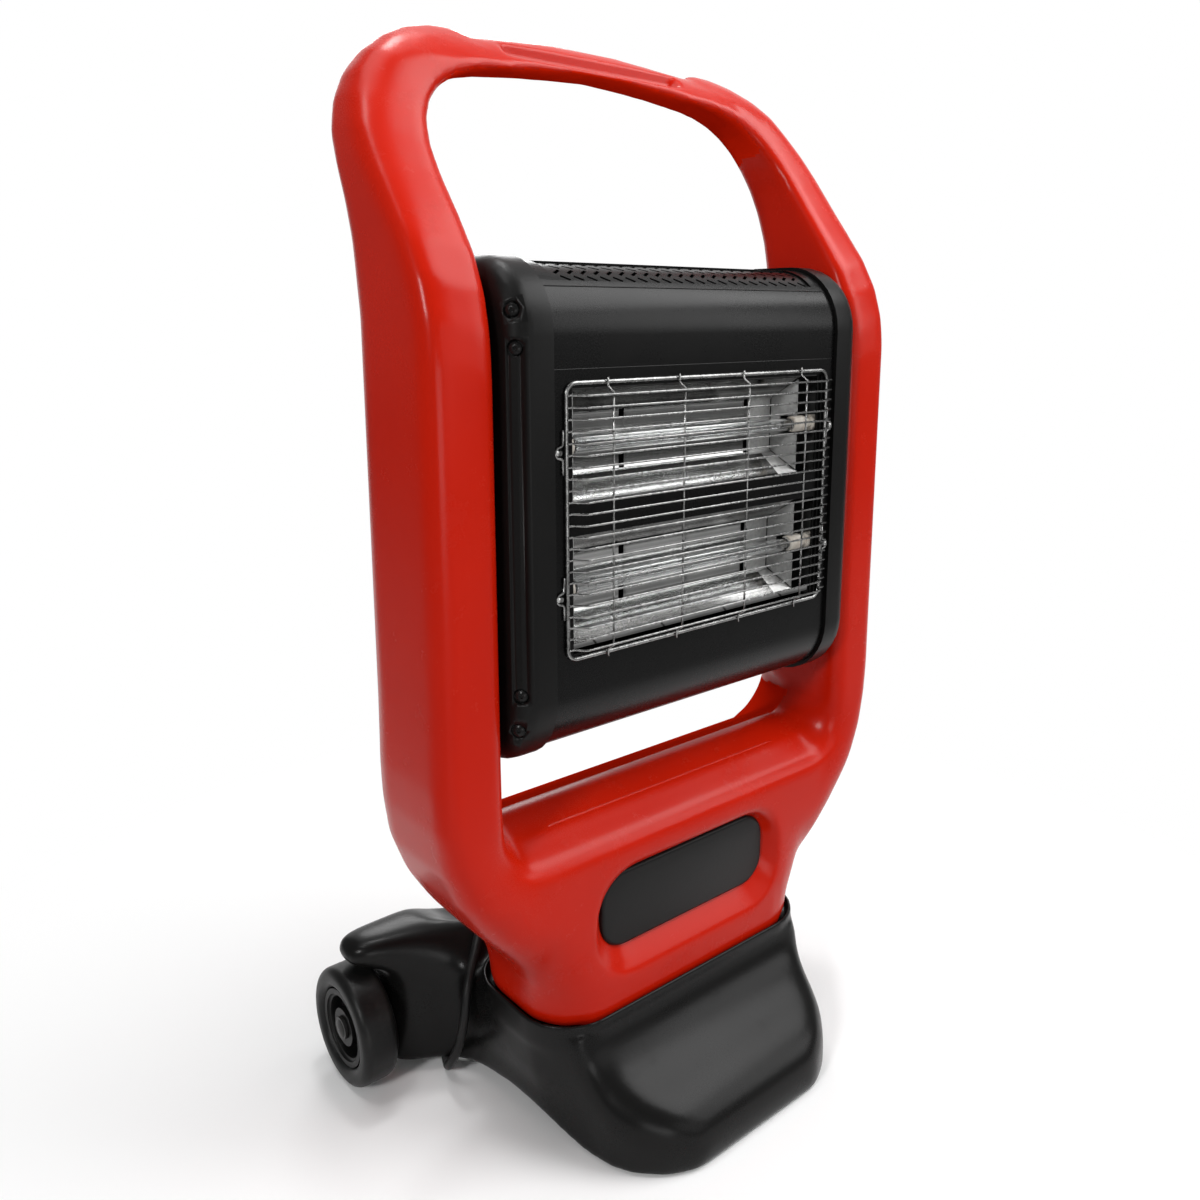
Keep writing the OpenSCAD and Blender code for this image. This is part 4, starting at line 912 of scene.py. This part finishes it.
# %% Lamp ends
def lamp_ends(lamp):
    """Two ceramic sleeves with a waist, from the glass to the brackets."""
    low, high = (Vector(corner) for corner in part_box("lamp_ends_" + lamp))
    glass_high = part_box("lamp_" + lamp)[1][0]
    centre, big, small = (low + high) / 2, (high.z - low.z) / 2, 4 * MM
    steps = [(0, 0), (0, big - MM), (0.03, big), (0.47, big), (0.49, big - MM), (0.50, small), (0.71, small),
             (0.72, big - MM), (0.74, big), (1, big), (1, 0)]
    bm = bmesh.new()
    for side, start in ((-1, glass_high + LEFT_EXTRA), (1, glass_high)):
        room = high.x - start
        turned(bm, [(start + share * room, radius) for share, radius in steps], centre, (side, 0, 0))
    piece = mesh_piece("lamp_ends_%s_turned" % lamp, bm)
    shade(piece, 50)
    return dress(piece, ceramic, ["lamp_ends_" + lamp])


for lamp in ("upper", "lower"):
    print(lamp_ends(lamp).name, "turned")

# %% [markdown]
# The guard is welded from drawn wire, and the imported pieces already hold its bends, so they are copied. The
# four clips are held by small domed screws, each spun from a quarter outline.

# %% Guard
plain_copy("guard_rim", guard_chrome)
for node in ("guard_bars", "guard_stays", "guard_clips"):
    plain_copy(node, guard_chrome, angle=80)

SCREW_DOME = [(0, 0), (0, 2.2 * MM), (0.9 * MM, 2.1 * MM), (1.7 * MM, 1.4 * MM), (2.0 * MM, 0)]
SCREW_X, SCREW_Y, SCREW_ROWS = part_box("guard_clips")[1][0] - 2.4 * MM, -83.6 * MM, (550 * MM, 449 * MM)
bm = bmesh.new()
for side in (-1, 1):
    for z in SCREW_ROWS:
        turned(bm, SCREW_DOME, Vector((side * SCREW_X, SCREW_Y, z)), (0, -1, 0), steps=16)
clip_screws = mesh_piece("guard_clip_screws", bm)
shade(clip_screws, 50)
dress(clip_screws, steel, body="head")
print("guard screws", round(SCREW_X, 4), "m from the middle")

# %% [markdown]
# The heater stands on white paper in a grey room. The paper covers only what the picture looks at, because a
# bright floor all round would show as a grey haze in the glossy plastic. It is pure white only to the eye, to
# mirrors and to glass, which leaves the amount of light on the plastic free to be set by the lamps. A curved
# backdrop, white in the same way, closes the view behind the heater.


# %% White to the eye
def seen(graph):
    """1 for what the eye, a mirror or glass looks at."""
    rays = [graph.add("ShaderNodeLightPath", out=name)
            for name in ("Is Camera Ray", "Is Glossy Ray", "Is Transmission Ray")]
    return rays[0] + rays[1] + rays[2] > 0.5


def white_where(finish, mask):
    """Lets the surface be seen as pure white where mask is 1, without more light falling from it."""
    glow = finish.add("ShaderNodeEmission", {}, {"Color": colour(1, 1, 1), "Strength": 1.0})
    plain = Wire(finish, finish.surface.outputs[0])
    blend = finish.add("ShaderNodeMixShader", {}, {0: seen(finish) * mask, 1: plain, 2: glow})
    finish.feed(finish.tree.nodes["Material Output"].inputs["Surface"], blend)
    return finish.material


print("white can be seen without lighting")

# %% Floor
FLOOR_HALF = 8.0
PAPER_OPENING, PAPER_HALF, PAPER_EDGE = 0.60, 0.76, 0.15
NEAR_R, NEAR_INNER_R, WHITE_FROM_R, WHITE_R = 0.60, 0.45, 0.30, 0.75
bm = bmesh.new()
bmesh.ops.create_grid(bm, x_segments=1, y_segments=1, size=FLOOR_HALF)
floor = mesh_piece("floor", bm)
pale = Finish("floor_pale", Roughness=0.9)


def along_floor(direction):
    return pale.add("ShaderNodeVectorMath", {"operation": "DOT_PRODUCT"}, {0: pale.place, 1: direction}, out=1)


ahead = along_floor((math.sin(CAMERA_YAW), math.cos(CAMERA_YAW), 0))
aside = along_floor((math.cos(CAMERA_YAW), -math.sin(CAMERA_YAW), 0))
spread = PAPER_OPENING * ahead + PAPER_HALF
paper = pale.ramp(spread - aside, 0, PAPER_EDGE) * pale.ramp(spread + aside, 0, PAPER_EDGE)
away = pale.add("ShaderNodeVectorMath", {"operation": "LENGTH"}, {0: pale.place}, out=1)
near = pale.ramp(away, NEAR_R, NEAR_INNER_R)
cloudy = pale.mix(pale.noise(0.5), colour(0.90, 0.90, 0.90), colour(0.93, 0.93, 0.93))
pale.wear(Base_Color=pale.mix(seen(pale) * (paper + near), colour(0.36, 0.36, 0.36), cloudy))
floor.data.materials.append(white_where(pale, paper * pale.ramp(away, WHITE_FROM_R, WHITE_R)))
print("floor", 2 * FLOOR_HALF, "m wide")

# %% Backdrop
BACKDROP_R, BACKDROP_H, BACKDROP_ARC = 4.0, 7.0, math.radians(82)
turn = math.pi / 2 - CAMERA_YAW - BACKDROP_ARC / 2
bm = bmesh.new()
ends = [bm.verts.new((BACKDROP_R * math.cos(turn), BACKDROP_R * math.sin(turn), z)) for z in (0, BACKDROP_H)]
upright = bm.edges.new(ends)
bmesh.ops.spin(bm, geom=ends + [upright], cent=(0, 0, 0), axis=(0, 0, 1), angle=BACKDROP_ARC, steps=24)
backdrop = mesh_piece("backdrop", bm)
cloth = Finish("backdrop_white", Roughness=1.0)
cloth.wear(Base_Color=cloth.mix(cloth.noise(0.5), colour(0.30, 0.30, 0.30), colour(0.34, 0.34, 0.34)))
backdrop.data.materials.append(white_where(cloth, 1.0))
print("backdrop", BACKDROP_R, "m away")

# %% [markdown]
# Soft light comes from area lamps, as from the soft boxes of a studio. The key, left and top lamps give most
# of the light, and the smaller ones each draw one highlight: on the foot, the columns, the grip or the back.
# One bright world would light it too, but it would wash out every shadow, so the room itself stays dim.

# %% Room
ROOM_LIGHT = 0.22
scene = bpy.context.scene
scene.view_settings.view_transform = "Standard"
room = bpy.data.worlds.new("pale_room")
scene.world = room
room.use_nodes = True
sky = Graph(room.node_tree)
sky.feed(sky.tree.nodes["Background"].inputs["Color"], colour(1, 1, 1))
sky.feed(sky.tree.nodes["Background"].inputs["Strength"], ROOM_LIGHT)
print("room light", ROOM_LIGHT)


# %% Studio lamps
def soft_lamp(name, place, aim, size, power):
    light = bpy.data.lights.new(name, "AREA")
    light.shape = "RECTANGLE"
    light.size, light.size_y = size
    light.energy = power
    lamp = bpy.data.objects.new(name, light)
    lamp.location = place
    lamp.rotation_euler = (Vector(aim) - Vector(place)).to_track_quat("-Z", "Y").to_euler()
    bpy.context.collection.objects.link(lamp)


soft_lamp("key_lamp", (1.28, -0.95, 2.35), (0, 0, 0.45), (1.6, 1.4), 47)
soft_lamp("left_lamp", (-2.2, -0.9, 1.6), (0, 0, 0.4), (0.4, 0.4), 26)
soft_lamp("front_lamp", (0.45, -2.10, 0.80), (-0.1, 0, 0.20), (1.2, 1.0), 4)
soft_lamp("side_card", (1.50, -1.60, 1.25), (0, 0, 0.4), (0.9, 0.9), 10)
soft_lamp("low_card", (-0.90, -2.00, 0.35), (-0.15, 0, 0.1), (0.9, 0.5), 6)
soft_lamp("top_lamp", (0.0, 0.4, 2.7), (0, 0, 0.5), (1.6, 1.2), 13)
soft_lamp("back_lamp", (1.10, 2.20, 1.70), (0, 0, 0.45), (1.0, 0.8), 18)
soft_lamp("edge_lamp", (-0.90, 0.0, 2.75), (-0.1, 0, 0.6), (0.4, 0.4), 7)
soft_lamp("rim_lamp", (0.25, 0.68, 2.60), (-0.15, 0, 0.8), (0.3, 0.3), 8)
print("lamps set:", sum(light.energy for light in bpy.data.lights), "W in all")
